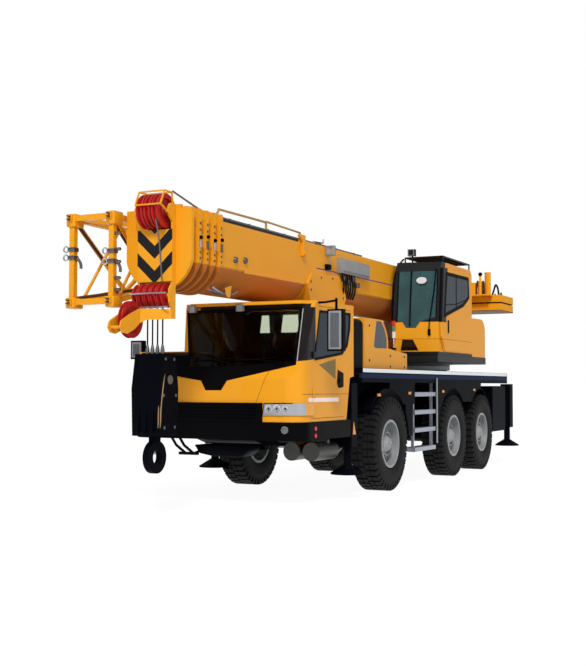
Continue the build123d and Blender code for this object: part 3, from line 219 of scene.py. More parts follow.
def chevrons(x, y, z):
    """Two black Vs on the sign plate, pointing down."""
    slope, lowest, pitch, black_share = 0.92, 2.722, 0.292, 0.525
    rise = z - y.size() * slope - lowest
    return ((rise / pitch).fract() < black_share) * (rise > 0.0) * within(x, 5.463, 5.475) * (z < 3.36)


def deck_strip(x, y, z):
    """The white strip along the deck's edge."""
    return within(z, 1.722, 1.776) * within(x, -5.26, 2.15) * (y.size() > 1.247)


def skirt_sky_reflection(x, y, z):
    """Painted reflection: the folded edge under the strip is painted the blue of the sky it catches."""
    return within(z, 1.64, 1.705) * (y.size() > 1.20)


def cab_seams(x, y, z):
    """Dark lines where the cab's panels meet: one slanting over the front, one along the side."""
    slant = line_at(y - (z - 1.32) * 0.42, 0.62) * (x > 3.95) * (z > 1.32)
    level = line_at(z, 1.425) * (x < 4.0) * (y > 1.0)
    return (slant + level).clamp()


CAB_CORNER_Y = 1.215
FRONT_SWEEP = 0.150 / 0.737


def upper_cab_marks(x, y, z):
    """The black base of the operator's cab, its black front frame and its black roof edge."""
    front = x + (y - CAB_CORNER_Y) * FRONT_SWEEP
    frame_front = (front > -1.46 + (z - 2.66).size() * -0.10) * (z > 2.60)
    return ((z < 2.105) + frame_front + (z > 3.64)).clamp()


def upper_cab_seam(x, y, z):
    """One seam across the operator's cab, at door height."""
    return line_at(z, 2.315)


def kick_window(x, y, z):
    """Painted shade: the low opening by the operator's feet is painted black for the dark it looks into."""
    return z < 2.45


def cover_base(x, y, z):
    """The black foot of the upper works' cover."""
    return z < 2.062


def cab_pillar(x, y, z):
    """The black pillar between windscreen and door window."""
    return (x > 3.695) * (y > 1.03) * (z > 1.84 + (x - 4.0) * -0.10) * (z < 2.525)


def slewing_ring(x, y, z):
    """The steel ring under the turntable."""
    return z < 1.96


def ring_teeth(x, y, z):
    """The paler toothed part of the slewing ring."""
    return z < 1.872


def lamp_end(x, y, z):
    """The rear end of the headlamp, which is painted body."""
    return x < 3.965


def cab_inside_shade(x, y, z):
    """Painted shade: the inside of the cab is painted black, clear of every outer face."""
    across = (y < 1.195) * ((y > -0.43) + (z < 1.97) * (y > -1.195)).clamp()
    return across * within(x, 2.49, 4.03) * within(z, 1.14, 2.575) * (x + y < 5.06)


def weight_marks(x, y, z):
    """The dark joint between the two slabs of the counterweight, and its dark underside edge."""
    return (within(z, 3.178, 3.212) + (z < 3.052)).clamp()


def blue_line(x, y, z):
    """A thin blue line along the boom's side."""
    return line_at(z, 3.235, 0.009) * within(x, -2.4, 1.9) * (y > 0.41)


def boom_belly_shade(x, y, z):
    """Painted shade: the rounded underside, below the fold, is painted a darker reddish orange for the shade
    it lies in.
    """
    return (z < 2.975) * ((x > 2.27) + (x < 0.89)).clamp()


def boom_rail(x, y, z):
    """The black rail along the boom's upper edge."""
    return (z > 3.545) * (y > 0.40) * within(x, 2.5, 4.60)


BLACK, WHITE, BLUE = (0.006, 0.006, 0.008), (0.80, 0.83, 0.86), (0.055, 0.050, 0.24)
SEAM, STEEL, PALE_STEEL = (0.16, 0.06, 0.006), (0.04, 0.04, 0.042), (0.36, 0.39, 0.41)
YELLOW = (0.80, 0.335, 0.011)
# The first colour on the next line is painted shade for the boom's underside.
# The last colour on the next line is a painted sky reflection for the deck's folded edge.
BELLY_SHADE, SKY_REFLECTION_BLUE = (0.47, 0.15, 0.03), (0.012, 0.020, 0.060)
CHASSIS = {"colour": (0.0016, 0.0022, 0.0045), "dusty": 0.015, "roughness": 0.5, "coat": 0.0, "specular": 0.3}
MATT_IOR = 1.12
# The carrier cab's marks include painted shade on its inside.
cab_marks = [(cab_seams, SEAM), (cab_pillar, BLACK), (cab_inside_shade, BLACK)]
# The boom's marks include painted shade on its underside.
boom_marks = [(boom_belly_shade, BELLY_SHADE), (blue_line, BLUE), (boom_rail, BLACK)]
# The deck's marks are a painted sky reflection on its folded edge and its white strip.
deck_marks = [(skirt_sky_reflection, SKY_REFLECTION_BLUE), (deck_strip, WHITE)]
yellow_marks = {
    "paint_yellow": ("crane yellow enamel", []),
    "head_yellow": ("boom head enamel with chevrons", [(chevrons, BLACK)]),
    "cab_yellow": ("carrier cab enamel with seams", cab_marks),
    "ring_yellow": ("turntable enamel", [(slewing_ring, STEEL), (ring_teeth, PALE_STEEL)]),
    "upper_cab_yellow": ("operator cab enamel", [(upper_cab_seam, SEAM), (upper_cab_marks, BLACK)]),
    "cover_yellow": ("upper cover enamel", [(cover_base, BLACK)]),
    "boom_yellow": ("boom enamel", boom_marks),
    # The boom sections carry the same painted shade on their underside.
    "section_yellow": ("boom section enamel", [(boom_belly_shade, BELLY_SHADE)]),
}
finishes = {key: enamel(name, YELLOW, marks=marks) for key, (name, marks) in yellow_marks.items()}
finishes |= {
    "weight_yellow": enamel(
        "counterweight enamel", YELLOW, marks=[(weight_marks, SEAM)], coat=0.0, specular=0.1, ior=1.2
    ),
    "lamp_body": enamel(
        "headlamp lens", (0.38, 0.39, 0.42), 0.02, 0.16, coat=0.5, metallic=0.2, marks=[(lamp_end, YELLOW)]
    ),
    "chassis_black": enamel("chassis black enamel", ior=MATT_IOR, **CHASSIS),
    "deck_black": enamel("deck enamel with edge strip", marks=deck_marks, ior=MATT_IOR, **CHASSIS),
    "rim_silver": enamel("wheel silver enamel", (0.31, 0.325, 0.335), dusty=0.3, metallic=0.35),
    "sheave_red": enamel("sheave red enamel", (0.42, 0.012, 0.010), dusty=0.05),
    "engine_grey": enamel("engine grey enamel", (0.26, 0.27, 0.28), dusty=0.3, roughness=0.5, coat=0.0),
}
print("enamels", sorted(finishes))

# %% [markdown]
# The other finishes are one short function each, with colour and gloss as values. Rubber is nearly
# black and matt, and brown with dust in its low parts. Plastics carry a fine grain, bare metals have
# streaks and a worn gloss, glass lets light through and shows a smear, seat cloth is crossed ribs, and
# a lamp moulding holds a little light of its own.


# %% Rubber, plastics and bare metals
def rubber(name):
    tyre = Finish(name)
    height = tyre.axes()[2]
    dusting = ((tyre.noise(7, 6) - 0.45) * 1.4).clamp() * (1.0 - height * 0.6).clamp()
    tyre.bump(tyre.noise(120, 4) * 0.7 + tyre.noise(14, 2) * 0.3, 0.0012, 0.5)
    return tyre.set(
        Base_Color=tyre.colours(dusting * 0.30, (0.0045, 0.0045, 0.0055), (0.07, 0.058, 0.045)),
        Roughness=(dusting * 0.15 + 0.72).clamp(),
        Specular_IOR_Level=0.2,
    )


def plastic(name, colour, roughness=0.5, grain=380, depth=0.0004, specular=0.15, ior=1.5):
    skin = Finish(name)
    cloud = skin.noise(3.1, 4)
    skin.bump(skin.noise(grain, 2), depth, 0.5)
    return skin.set(
        Base_Color=skin.colours(cloud, shift(colour, 0.8), shift(colour, 1.25)),
        Roughness=(cloud * 0.16 + roughness - 0.08).clamp(),
        Specular_IOR_Level=specular,
        IOR=ior,
    )


def bare_metal(name, colour, roughness=0.35, stretch=(1, 1, 1), metallic=1.0):
    metal = Finish(name)
    streaks = metal.noise(60, 4, stretch)
    worn = metal.noise(4, 5)
    metal.bump(streaks, 0.0003, 0.4)
    return metal.set(
        Base_Color=metal.colours(worn, shift(colour, 0.72), shift(colour, 1.1)),
        Roughness=(streaks * 0.2 + (worn - 0.5) * 0.25 + roughness - 0.1).clamp(),
        Metallic=metallic,
    )


def clear(name, tint, roughness=0.03, weight=1.0, spread=0.05, marks=(), ior=1.45):
    """Glass: it lets most light through and mirrors the rest."""
    glass = Finish(name)
    smear = glass.noise(2.3, 5)
    tone = glass.colours(smear, shift(tint, 1 - spread), shift(tint, 1 + spread))
    for mask, mark_colour in marks:
        tone = glass.colours(mask(*glass.axes()), tone, mark_colour)
    return glass.set(
        Base_Color=tone,
        Roughness=(smear * 0.04 + roughness).clamp(),
        Transmission_Weight=weight,
        IOR=ior,
    )


def woven(name, colour):
    """Seat cloth: crossed ribs a few millimetres apart."""
    pitch = 0.004
    cloth = Finish(name)
    x, y, z = cloth.axes()
    ribs = ((x + z) / pitch).fract().size() * 0.5 + ((y - z) / pitch).fract().size() * 0.5
    fade = cloth.noise(5, 3)
    cloth.bump(ribs, 0.0006, 0.6)
    return cloth.set(
        Base_Color=cloth.colours(fade * 0.6 + ribs * 0.4, shift(colour, 0.7), shift(colour, 1.2)),
        Roughness=0.9,
    )


def lit(name, colour, glow):
    """A lamp moulding: coloured plastic that holds a little light of its own. On parts that are no lamps, the
    reflector sheets, the warning triangles and the daylight panes, that glow is painted light.
    """
    lens = Finish(name)
    pitch = 0.008
    cells = (lens.axes()[1] / pitch).fract().size() * 0.4 + (lens.axes()[2] / pitch).fract().size() * 0.4
    lens.bump(cells, 0.001, 0.5)
    return lens.set(
        Base_Color=lens.colours(cells, shift(colour, 0.7), shift(colour, 1.1)),
        Roughness=0.18,
        Emission_Color=(*colour, 1),
        Emission_Strength=glow,
    )


finishes.update({
    "lamp_red": lit("red lamp moulding", (0.62, 0.02, 0.015), 0.15),
    "glowing_amber": lit("amber lamp moulding", (0.75, 0.26, 0.03), 0.10),
    "lamp_green": lit("green lamp moulding", (0.10, 0.26, 0.08), 0.10),
    # The reflector sheet is no lamp: its glow is painted light.
    "glowing_reflector_white": lit("white reflector sheet with painted glow", (0.82, 0.66, 0.60), 0.20),
    "amber_glass": clear("bronze kick window", (0.30, 0.20, 0.03), 0.08, 0.3),
    "glass_dark": plastic("dark bulb glass", (0.02, 0.02, 0.025), 0.15),
    # An opaque dark pane that stands for the shaded cab behind the glass: painted shade.
    "window_shade_pane": plastic("opaque window pane with painted shade", (0.016, 0.030, 0.044), 0.14, 3, 0.0003, 0.22),
    "mesh_grey": plastic("grey grille mesh", (0.10, 0.11, 0.125), 0.5, 300, 0.0015),
    # The glazing's low kick window is painted black: painted shade.
    "teal_glass": clear(
        "operator cab glazing", (0.050, 0.130, 0.140), 0.04, 0.45, 0.7, [(kick_window, BLACK)]
    ),
    "cab_glass": clear("carrier cab glazing", (0.035, 0.060, 0.065), ior=1.22),
    "daylight": lit("daylight in the rear panes", (1.0, 0.66, 0.45), 14.0),
    "tank_grey": bare_metal("tank aluminium", (0.085, 0.085, 0.08), 0.45, (1, 1, 6), 0.8),
    "guard_tan": plastic("faded guard paint", (0.42, 0.26, 0.09), 0.5, specular=0.3),
    "rust_brown": plastic("brown primer", (0.085, 0.026, 0.010), 0.6, specular=0.2),
    "mirror_white": plastic("pale round mirror", (0.72, 0.76, 0.82), 0.3, specular=0.3),
    "mirror_silver": bare_metal("mirror glass", (0.85, 0.87, 0.88), 0.06),
    "rope_tan": bare_metal("greased rope", (0.34, 0.22, 0.10), 0.55, (1, 1, 12), 0.3),
    "tyre_rubber": rubber("tyre rubber"),
    "trim_black": plastic(
        "grained black plastic", (0.0018, 0.0018, 0.0025), 0.45, specular=0.3, ior=1.15
    ),
    "glazing": clear("tinted glazing", (0.27, 0.37, 0.35)),
    "lamp_clear": clear("clear lamp moulding", (0.93, 0.95, 0.97), 0.02, 0.85),
    "cabin_grey": woven("grey seat cloth", (0.09, 0.09, 0.10)),
    "step_alloy": bare_metal("step alloy", (0.50, 0.53, 0.61), 0.42, (1, 8, 1)),
    "rod_chrome": bare_metal("hard chrome", (0.72, 0.73, 0.75), 0.12),
    "steel_dark": bare_metal("oiled steel", (0.20, 0.20, 0.205), 0.42),
})
print("finishes", len(finishes))

# %% [markdown]
# Each body's plain node already has the right form, so it only needs its finish. The record names one
# finish for each node, and the list below gives another to the nodes that carry marks of their own.

# %% Give every node its finish
slot_of = {part["node"]: part["material_slot"] for part in frame["record"]["subparts"]}
jacks = [f"outrigger_jack_{end}_{side}" for end in ("front", "rear") for side in ("left", "right")]
marked_finish = {
    **dict.fromkeys(jacks, "chassis_black"),
    "boom_head_section": "head_yellow",
    "boom_base": "boom_yellow",
    **dict.fromkeys(("boom_section_1", "boom_section_2", "boom_section_3"), "section_yellow"),
    "carrier_cab_glass": "cab_glass",
    "carrier_cab_shell": "cab_yellow",
    "carrier_cab_door": "cab_yellow",
    "operator_cab_shell": "upper_cab_yellow",
    "operator_cab_door": "upper_cab_yellow",
    "upper_deck_cover": "cover_yellow",
    "deck": "deck_black",
    "turntable": "ring_yellow",
    "headlamps": "lamp_body",
    "operator_cab_glass": "teal_glass",
    "air_tanks": "tank_grey",
    "counterweight": "weight_yellow",
}
for name, node in nodes.items():
    node.data.materials.clear()
    node.data.materials.append(finishes[marked_finish.get(name, slot_of[name])])
print("finished nodes", len(nodes))

# %% [markdown]
# Every added piece is modelled as by hand. A few short helpers stand for the moves that come back all
# the time: a block between two corners, a plate from an outline, a profile spun round an axis, a bar
# along a path, a chamfer on sharp edges, and copies of a finished shape. `dress` joins what belongs
# together, names it, and gives it its finish and the body it rides on.


# %% Helpers for modelling
AXIS = {"X": Vector((1, 0, 0)), "Y": Vector((0, 1, 0)), "Z": Vector((0, 0, 1))}
# A slot is the kind of surface that the model's record names. Finishes without a slot of their own name
# belong to one of these.
SLOT_OF_FINISH = {
    **dict.fromkeys(("glowing_reflector_white", "glowing_amber", "lamp_green", "lamp_red", "daylight"), "lamp_clear"),
    **dict.fromkeys(("amber_glass", "window_shade_pane", "glass_dark"), "glazing"),
    **dict.fromkeys(("rope_tan", "rust_brown"), "steel_dark"),
    **dict.fromkeys(("mirror_white", "mirror_silver"), "rod_chrome"),
    "guard_tan": "paint_yellow",
    "mesh_grey": "engine_grey",
}
ORIGIN = (0, 0, 0)
SIDES = {"left": 1, "right": -1}
MERGE_DISTANCE = 0.00005
added = []


def take(piece):
    """Selects one piece alone and makes it the active one."""
    bpy.ops.object.select_all(action="DESELECT")
    piece.select_set(True)
    bpy.context.view_layer.objects.active = piece


class editing:
    """Edit mode on one piece, with the faces selected that a test on centre and normal picks."""

    def __init__(self, piece, choose=None):
        self.piece = piece
        self.choose = choose

    def __enter__(self):
        take(self.piece)
        for polygon in self.piece.data.polygons:
            polygon.select = self.choose is None or self.choose(polygon.center, polygon.normal)
        if self.choose is not None:
            for part in (*self.piece.data.edges, *self.piece.data.vertices):
                part.select = False
        bpy.ops.object.mode_set(mode="EDIT")
        bpy.ops.mesh.select_mode(type="FACE")
        if self.choose is None:
            bpy.ops.mesh.select_all(action="SELECT")
        return self.piece

    def __exit__(self, *problem):
        bpy.ops.object.mode_set(mode="OBJECT")


def push(way):
    """Extrudes the selected faces along a vector."""
    bpy.ops.mesh.extrude_region_move(TRANSFORM_OT_translate={"value": way})


def close_up(merge=False):
    """Selects the whole piece, merges its doubles where asked, and turns its faces outwards."""
    bpy.ops.mesh.select_all(action="SELECT")
    if merge:
        bpy.ops.mesh.remove_doubles(threshold=MERGE_DISTANCE)
    bpy.ops.mesh.normals_make_consistent(inside=False)


def block(low, high):
    """A cube between two corners, to be shaped further."""
    bpy.ops.object.select_all(action="DESELECT")
    low, high = Vector(low), Vector(high)
    bpy.ops.mesh.primitive_cube_add(size=1, location=(low + high) / 2)
    piece = bpy.context.object
    piece.scale = high - low
    take(piece)
    bpy.ops.object.transform_apply(location=True, rotation=True, scale=True)
    return piece


def chamfered(piece, width=0.004, segments=1, angle=40):
    """Breaks sharp edges, as a file or a press tool leaves them."""
    take(piece)
    bevel = piece.modifiers.new("edges", "BEVEL")
    bevel.width = width
    bevel.segments = segments
    bevel.limit_method = "ANGLE"
    bevel.angle_limit = math.radians(angle)
    bpy.ops.object.modifier_apply(modifier=bevel.name)
    return piece


def slab(low, high, edge=0.004, segments=1):
    """A block with broken edges."""
    return chamfered(block(low, high), edge, segments)


def laid(across, a, b, c):
    """A point whose two outline numbers are a and b, at c along the axis across them."""
    return {"X": Vector((c, a, b)), "Y": Vector((a, c, b)), "Z": Vector((a, b, c))}[across]


def outline(points, across, at, filled=True):
    """A flat loop through the points, filled or open, at a place along the axis across it."""
    bpy.ops.object.select_all(action="DESELECT")
    bpy.ops.mesh.primitive_circle_add(vertices=len(points), fill_type="NGON" if filled else "NOTHING")
    piece = bpy.context.object
    for vertex, (a, b) in zip(piece.data.vertices, points):
        vertex.co = laid(across, a, b, at)
    return piece


def plate(points, across, low, high):
    """An outline given thickness along one axis."""
    piece = outline(points, across, low)
    with editing(piece):
        push(AXIS[across] * (high - low))
        close_up()
    return piece


def frame_of(points, across, at, width, depth):
    """A flat frame of even width inside an outline, such as a window rubber."""
    piece = outline(points, across, at)
    with editing(piece):
        bpy.ops.mesh.inset(thickness=width, use_even_offset=True)
        bpy.ops.mesh.delete(type="FACE")
        bpy.ops.mesh.select_all(action="SELECT")
        push(AXIS[across] * depth)
        close_up()
    return piece


def turned(profile, centre, axis="Y", steps=48):
    """Spins a closed profile of (distance along the axis, radius) round an axis through a centre."""
    centre = Vector(centre)
    along = AXIS[axis]
    out = AXIS["Z"] if axis != "Z" else AXIS["X"]
    piece = outline(profile, "Z", 0, filled=False)
    for vertex, (distance, radius) in zip(piece.data.vertices, profile):
        vertex.co = centre + along * distance + out * radius
    with editing(piece):
        bpy.ops.mesh.select_mode(type="VERT")
        bpy.ops.mesh.select_all(action="SELECT")
        bpy.ops.mesh.spin(steps=steps, angle=2 * math.pi, center=centre, axis=along)
        close_up(merge=True)
    return piece


def bar(points, radius, smooth=False):
    """A round bar or hose along a path."""
    path = bpy.data.curves.new("path", "CURVE")
    path.dimensions = "3D"
    path.bevel_depth = radius
    path.bevel_resolution = 2
    path.resolution_u = 6
    path.use_fill_caps = True
    line = path.splines.new("NURBS" if smooth else "POLY")
    line.points.add(len(points) - 1)
    for knot, point in zip(line.points, points):
        knot.co = (*point, 1)
    if smooth:
        line.order_u = 3
        line.use_endpoint_u = True
    piece = bpy.data.objects.new("path", path)
    bpy.context.scene.collection.objects.link(piece)
    take(piece)
    bpy.ops.object.convert(target="MESH")
    piece = bpy.context.object
    with editing(piece):
        close_up(merge=True)
    return piece


def joined(pieces):
    """One piece made of several."""
    take(pieces[0])
    for piece in pieces:
        piece.select_set(True)
    bpy.ops.object.join()
    return bpy.context.object


def copied(piece):
    """A second piece of the same shape, with its own mesh."""
    copy = bpy.data.objects.new(piece.name, piece.data.copy())
    bpy.context.scene.collection.objects.link(copy)
    return copy


def repeated(piece, moves):
    """Copies of a shape, one for each move, joined into one piece."""
    copies = [copied(piece) for _ in moves]
    for copy, move in zip(copies, moves):
        copy.data.transform(move)
    bpy.data.objects.remove(piece)
    return joined(copies)


def turns(count, centre, axis="Y"):
    """Places round an axis, evenly spread."""
    centre = Vector(centre)
    there, back = Matrix.Translation(centre), Matrix.Translation(-centre)
    return [there @ Matrix.Rotation(2 * math.pi * n / count, 4, axis) @ back for n in range(count)]


def both_sides(piece, out, places):
    """Copies of a piece made at the origin, at places (x, z) on the left and right, facing outwards."""
    moves = []
    for side in SIDES.values():
        facing = Matrix.Identity(4) if side > 0 else Matrix.Rotation(math.pi, 4, "Z")
        moves += [Matrix.Translation((x, side * out, z)) @ facing for x, z in places]
    return repeated(piece, moves)


def span(side, near, far):
    """Two distances from the middle, taken to one side and put in rising order."""
    return sorted((side * near, side * far))


def round_section(radius, thick, count=8):
    """The profile of a round ring: points on a small circle at a radius from the axis."""
    angles = [2 * math.pi * n / count for n in range(count)]
    return [(math.sin(angle) * thick, radius + math.cos(angle) * thick) for angle in angles]


def bolt(size=0.017):
    """A six-sided bolt head at the origin, which looks to the left."""
    profile = [(0, 0), (0, size), (size * 0.5, size), (size * 0.6, size * 0.8), (size * 0.6, 0)]
    return turned(profile, ORIGIN, "Y", 6)


def dress(pieces, name, finish, body, smooth=35):
    """Joins and names a piece, gives it its finish and says which body carries it."""
    piece = joined(pieces) if isinstance(pieces, list) else pieces
    piece.name = name
    take(piece)
    bpy.ops.object.shade_smooth_by_angle(angle=math.radians(smooth))
    piece.data.materials.clear()
    piece.data.materials.append(finishes[finish])
    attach(piece, body)
    added.append(piece)
    return piece


print("helpers ready")

# %% [markdown]
# A crane tyre is a round-shouldered carcass with a shallow tread of separate lugs: two rows of big
# shoulder lugs that wrap over the edge, and two rows of smaller ones between them, each row half a step
# on from its neighbour. The carcass is a profile spun round the axle. One step of the tread is four
# bevelled plates, and the rest are turned copies of it. The tyre replaces the plain one of the model
# at the same width and height.

# %% Tyres
AXLES = {"1": 1.13, "2": -1.84, "3": -3.49}
TYRE_R, TRACK = 0.685, 1.09
TREAD_DEPTH = 0.021
TREAD_STEPS = 40
HUB = (0.0, 0.0, TYRE_R)
BEAD_R = 0.334
side_curve = [
    (0.140, BEAD_R), (0.152, 0.352), (0.160, 0.366), (0.168, 0.369), (0.180, 0.400), (0.189, 0.450),
    (0.1925, 0.500), (0.1915, 0.545), (0.1865, 0.553), (0.1850, 0.590), (0.1760, 0.632), (0.1480, 0.657),
]
carcass_profile = [(0.0, TYRE_R - TREAD_DEPTH), *[(-y, r) for y, r in reversed(side_curve)], (0.0, BEAD_R)]
carcass_profile += side_curve


def lug(points):
    """A tread lug on top of the tyre, sunk a little into the carcass."""
    sunk = 0.006
    return chamfered(plate(points, "Z", 2 * TYRE_R - TREAD_DEPTH - sunk, 2 * TYRE_R), angle=60)


def on_wheels(shape, name, finish, smooth=35, turn_right=True, stands_for=None):
    """Dresses all six wheels with copies of a shape that is made round the hub."""
    for axle, x in AXLES.items():
        for side, sign in SIDES.items():
            copy = copied(shape)
            if turn_right and sign < 0:
                copy.data.transform(Matrix.Rotation(math.pi, 4, "Z"))
            copy.data.transform(Matrix.Translation((x, sign * TRACK, 0)))
            dress(copy, f"{name}_{axle}_{side}", finish, f"wheel_{axle}_{side}", smooth)
            if stands_for:
                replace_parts(copy, f"{stands_for}_{axle}_{side}")
    bpy.data.objects.remove(shape)


step = 2 * math.pi * TYRE_R / TREAD_STEPS
shoulder = lug([(-0.4 * step, 0.088), (0.30 * step, 0.080), (0.38 * step, 0.176), (-0.34 * step, 0.176)])
with editing(shoulder, lambda centre, normal: normal.y > 0.7):
    push((0.0, 0.011, -0.034))
    bpy.ops.transform.resize(value=(0.94, 1.0, 0.7))
    push((0.0, 0.001, -0.040))
middle = lug([(-0.40 * step, 0.012), (0.30 * step, 0.006), (0.40 * step, 0.070), (-0.28 * step, 0.078)])
half_step = Matrix.Rotation(math.pi / TREAD_STEPS, 4, "Y")
lift, drop = Matrix.Translation(HUB), Matrix.Translation(-Vector(HUB))
other_side = lift @ half_step @ drop @ Matrix.Rotation(math.pi, 4, "Z")
tread_unit = repeated(joined([shoulder, middle]), [Matrix.Identity(4), other_side])
tread = repeated(tread_unit, turns(TREAD_STEPS, HUB))
tyre_shape = joined([turned(carcass_profile, HUB, steps=80), tread])
print("tyre triangles", sum(len(polygon.vertices) - 2 for polygon in tyre_shape.data.polygons))
on_wheels(tyre_shape, "treaded_tyre", "tyre_rubber", smooth=30, turn_right=False, stands_for="tyre")

# %% [markdown]
# The pressed steel wheel is held by twenty nuts on studs, inside the ring of hand holes, and its planet
# hub ends in a bolted cap with a filler plug. The nuts are six-sided cones with a washer face; one is
# modelled and turned round the hub.

# %% Wheel nuts and hub caps
NUT_CIRCLE = TYRE_R + 0.1675
FACE_Y = 0.077
washer = turned([(0, 0), (0, 0.022), (0.005, 0.022), (0.006, 0)], (0, FACE_Y, NUT_CIRCLE), steps=14)
nut_profile = [(0, 0), (0, 0.017), (0.026, 0.017), (0.030, 0.013), (0.030, 0)]
nut = turned(nut_profile, (0, FACE_Y + 0.005, NUT_CIRCLE), steps=6)
stud_profile = [(0, 0), (0, 0.009), (0.046, 0.009), (0.049, 0.006), (0.049, 0)]
stud = turned(stud_profile, (0, FACE_Y, NUT_CIRCLE), steps=10)
nuts = repeated(joined([washer, nut, stud]), turns(20, HUB))
cap_bolt = turned([(0, 0), (0, 0.010), (0.009, 0.010), (0.010, 0)], (0, 0.149, TYRE_R + 0.064), steps=6)
plug_profile = [(0, 0), (0, 0.020), (0.012, 0.020), (0.014, 0.011), (0.022, 0.010), (0.022, 0)]
plug = turned(plug_profile, (0, 0.148, TYRE_R), steps=20)
on_wheels(joined([nuts, repeated(cap_bolt, turns(8, HUB)), plug]), "wheel_nuts", "rim_silver")
print("wheels dressed", len(added))

# %% [markdown]
# The rope sheaves are red plastic wheels with a deep groove round the rim and a dished web. Each is a
# profile spun round its pin. The pins are plain steel bars.


# %% Sheaves
def sheave(centre, radius, width):
    """A rope wheel: hub, dished web, rim and groove."""
    half = width / 2
    web, groove = half * 0.45, 0.036
    profile = [
        (-half, 0.030), (-half, 0.062), (-web, 0.072), (-web, radius - 0.068), (-half, radius - 0.060),
        (-half, radius - 0.004), (-half + 0.006, radius), (-0.020, radius - 0.004), (-0.012, radius - groove),
        (0.012, radius - groove), (0.020, radius - 0.004), (half - 0.006, radius), (half, radius - 0.004),
        (half, radius - 0.060), (web, radius - 0.068), (web, 0.072), (half, 0.062), (half, 0.030),
    ]
    return turned(profile, centre, steps=56)


HEAD = "boom_head_section"
SHEAVE_ROWS = {
    # name: x, z, first y, step, count, radius, width
    "top_sheaves": (5.480, 3.570, -0.085, 0.105, 3, 0.205, 0.090),
    "lower_sheaves": (5.440, 2.580, -0.206, 0.084, 5, 0.145, 0.078),
    "nose_sheave": (5.760, 2.290, -0.130, 0.0, 1, 0.215, 0.058),
}
PIN_R, PIN_END = 0.028, 0.012
for name, (x, z, first, step, count, radius, width) in SHEAVE_ROWS.items():
    wheels = [sheave((x, first + step * n, z), radius, width) for n in range(count)]
    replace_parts(dress(wheels, name, "sheave_red", HEAD), "head_sheaves")
    low = first - width / 2 - PIN_END
    high = first + step * (count - 1) + width / 2 + PIN_END
    pin = turned([(low, 0), (low, PIN_R), (high, PIN_R), (high, 0)], (x, 0, z), steps=24)
    dress(pin, name + "_pin", "rod_chrome", HEAD)
print("sheaves", list(SHEAVE_ROWS))

# %% [markdown]
# Round the boom head: light bars keep the ropes in the lower grooves, a rope runs down the sign plate,
# a thin stay joins the head's hoop to the first collar, and each collar carries two rows of bolts for
# the slide pads, with dark or bright pad keepers and a black knob at mid height.

# %% Boom head fittings
keeper_bars = [bar([(x, -0.245, z), (x, 0.245, z)], 0.0095) for x, z in ((5.603, 2.600), (5.560, 2.440))]
dress(keeper_bars, "rope_keeper_bars", "step_alloy", HEAD)
plate_rope = bar([(5.640, 0.125, 3.46), (5.560, 0.125, 3.20), (5.500, 0.125, 2.74)], 0.009)
dress(plate_rope, "rope_on_sign_plate", "steel_dark", HEAD)
top_stay = bar([(5.440, 0.227, 3.800), (5.000, 0.250, 3.690), (4.640, 0.250, 3.610)], 0.012)
dress(top_stay, "rope_guide_stay", "steel_dark", HEAD)

COLLAR_HALF, COLLAR_THICK = 0.455, 0.055
BOLT_HEIGHTS = (3.445, 3.365, 3.10, 3.03)
COLLARS = {
    # section: body, x, height of the knob, finish of the keepers
    "boom_base": ("boom", 4.670, 3.300, "steel_dark"),
    "boom_section_1": ("boom_section_1", 4.835, 3.275, "rod_chrome"),
    "boom_section_2": ("boom_section_2", 5.000, 3.300, "steel_dark"),
    "boom_section_3": ("boom_section_3", 5.165, 3.275, "rod_chrome"),
}
knob_profile = [(-0.004, 0), (-0.004, 0.022), (0.022, 0.022), (0.028, 0.016), (0.028, 0)]
for section, (body, x, knob_z, finish) in COLLARS.items():
    middle_x = x + COLLAR_THICK / 2
    bolts = both_sides(bolt(), COLLAR_HALF - 0.004, [(middle_x, z) for z in BOLT_HEIGHTS])
    dress(bolts, section + "_pad_bolts", "steel_dark", body)
    keepers = []
    for side in SIDES.values():
        low, high = span(side, COLLAR_HALF - 0.006, COLLAR_HALF + 0.012)
        keepers.append(slab((x + 0.004, low, 3.150), (x + COLLAR_THICK - 0.004, high, 3.250), 0.003))
    dress(keepers, section + "_pad_keepers", finish, body)
    knobs = both_sides(turned(knob_profile, ORIGIN, "Y", 16), COLLAR_HALF, [(middle_x, knob_z)])
    dress(knobs, section + "_knobs", "trim_black", body)
print("boom head dressed", len(added))

# %% [markdown]
# The hook block is a weldment of side plates over its sheaves. It gets stiffening ribs that taper
# upwards, bolts round the plates, a pin, and a safety latch across the hook's mouth. The ropes end in
# sockets on its top, and two slings hang down its left side.

# %% Hook block fittings
HOOK = "hook_block"
PLATE_BOLTS = ((5.35, 1.84), (5.53, 1.84), (5.31, 1.42), (5.57, 1.42), (5.33, 1.05), (5.55, 1.05))
dress(both_sides(bolt(0.022), 0.197, PLATE_BOLTS), "hook_block_bolts", "steel_dark", HOOK)
pin_profile = [(-0.216, 0), (-0.216, 0.050), (-0.212, 0.054), (0.212, 0.054), (0.216, 0.050), (0.216, 0)]
dress(turned(pin_profile, (5.44, 0, 1.60), steps=28), "hook_block_pin", "steel_dark", HOOK)
ribs = [slab((5.26, y - 0.008, 0.99), (5.655, y + 0.008, 1.86), 0.003) for y in (-0.10, 0.0, 0.10)]
for rib in ribs:
    with editing(rib, lambda centre, normal: normal.z > 0.7):
        bpy.ops.transform.resize(value=(0.62, 1, 1), center_override=(5.44, 0, 1.86))
dress(ribs, "hook_block_ribs", "chassis_black", HOOK)
socket_profile = [(0, 0), (0, 0.022), (0.05, 0.026), (0.11, 0.013), (0.12, 0)]
sockets = [turned(socket_profile, (5.44, y, 1.895), "Z", 16) for y in (-0.110, -0.040, 0.030, 0.100)]
dress(sockets, "rope_sockets", "steel_dark", HOOK)
slings = []
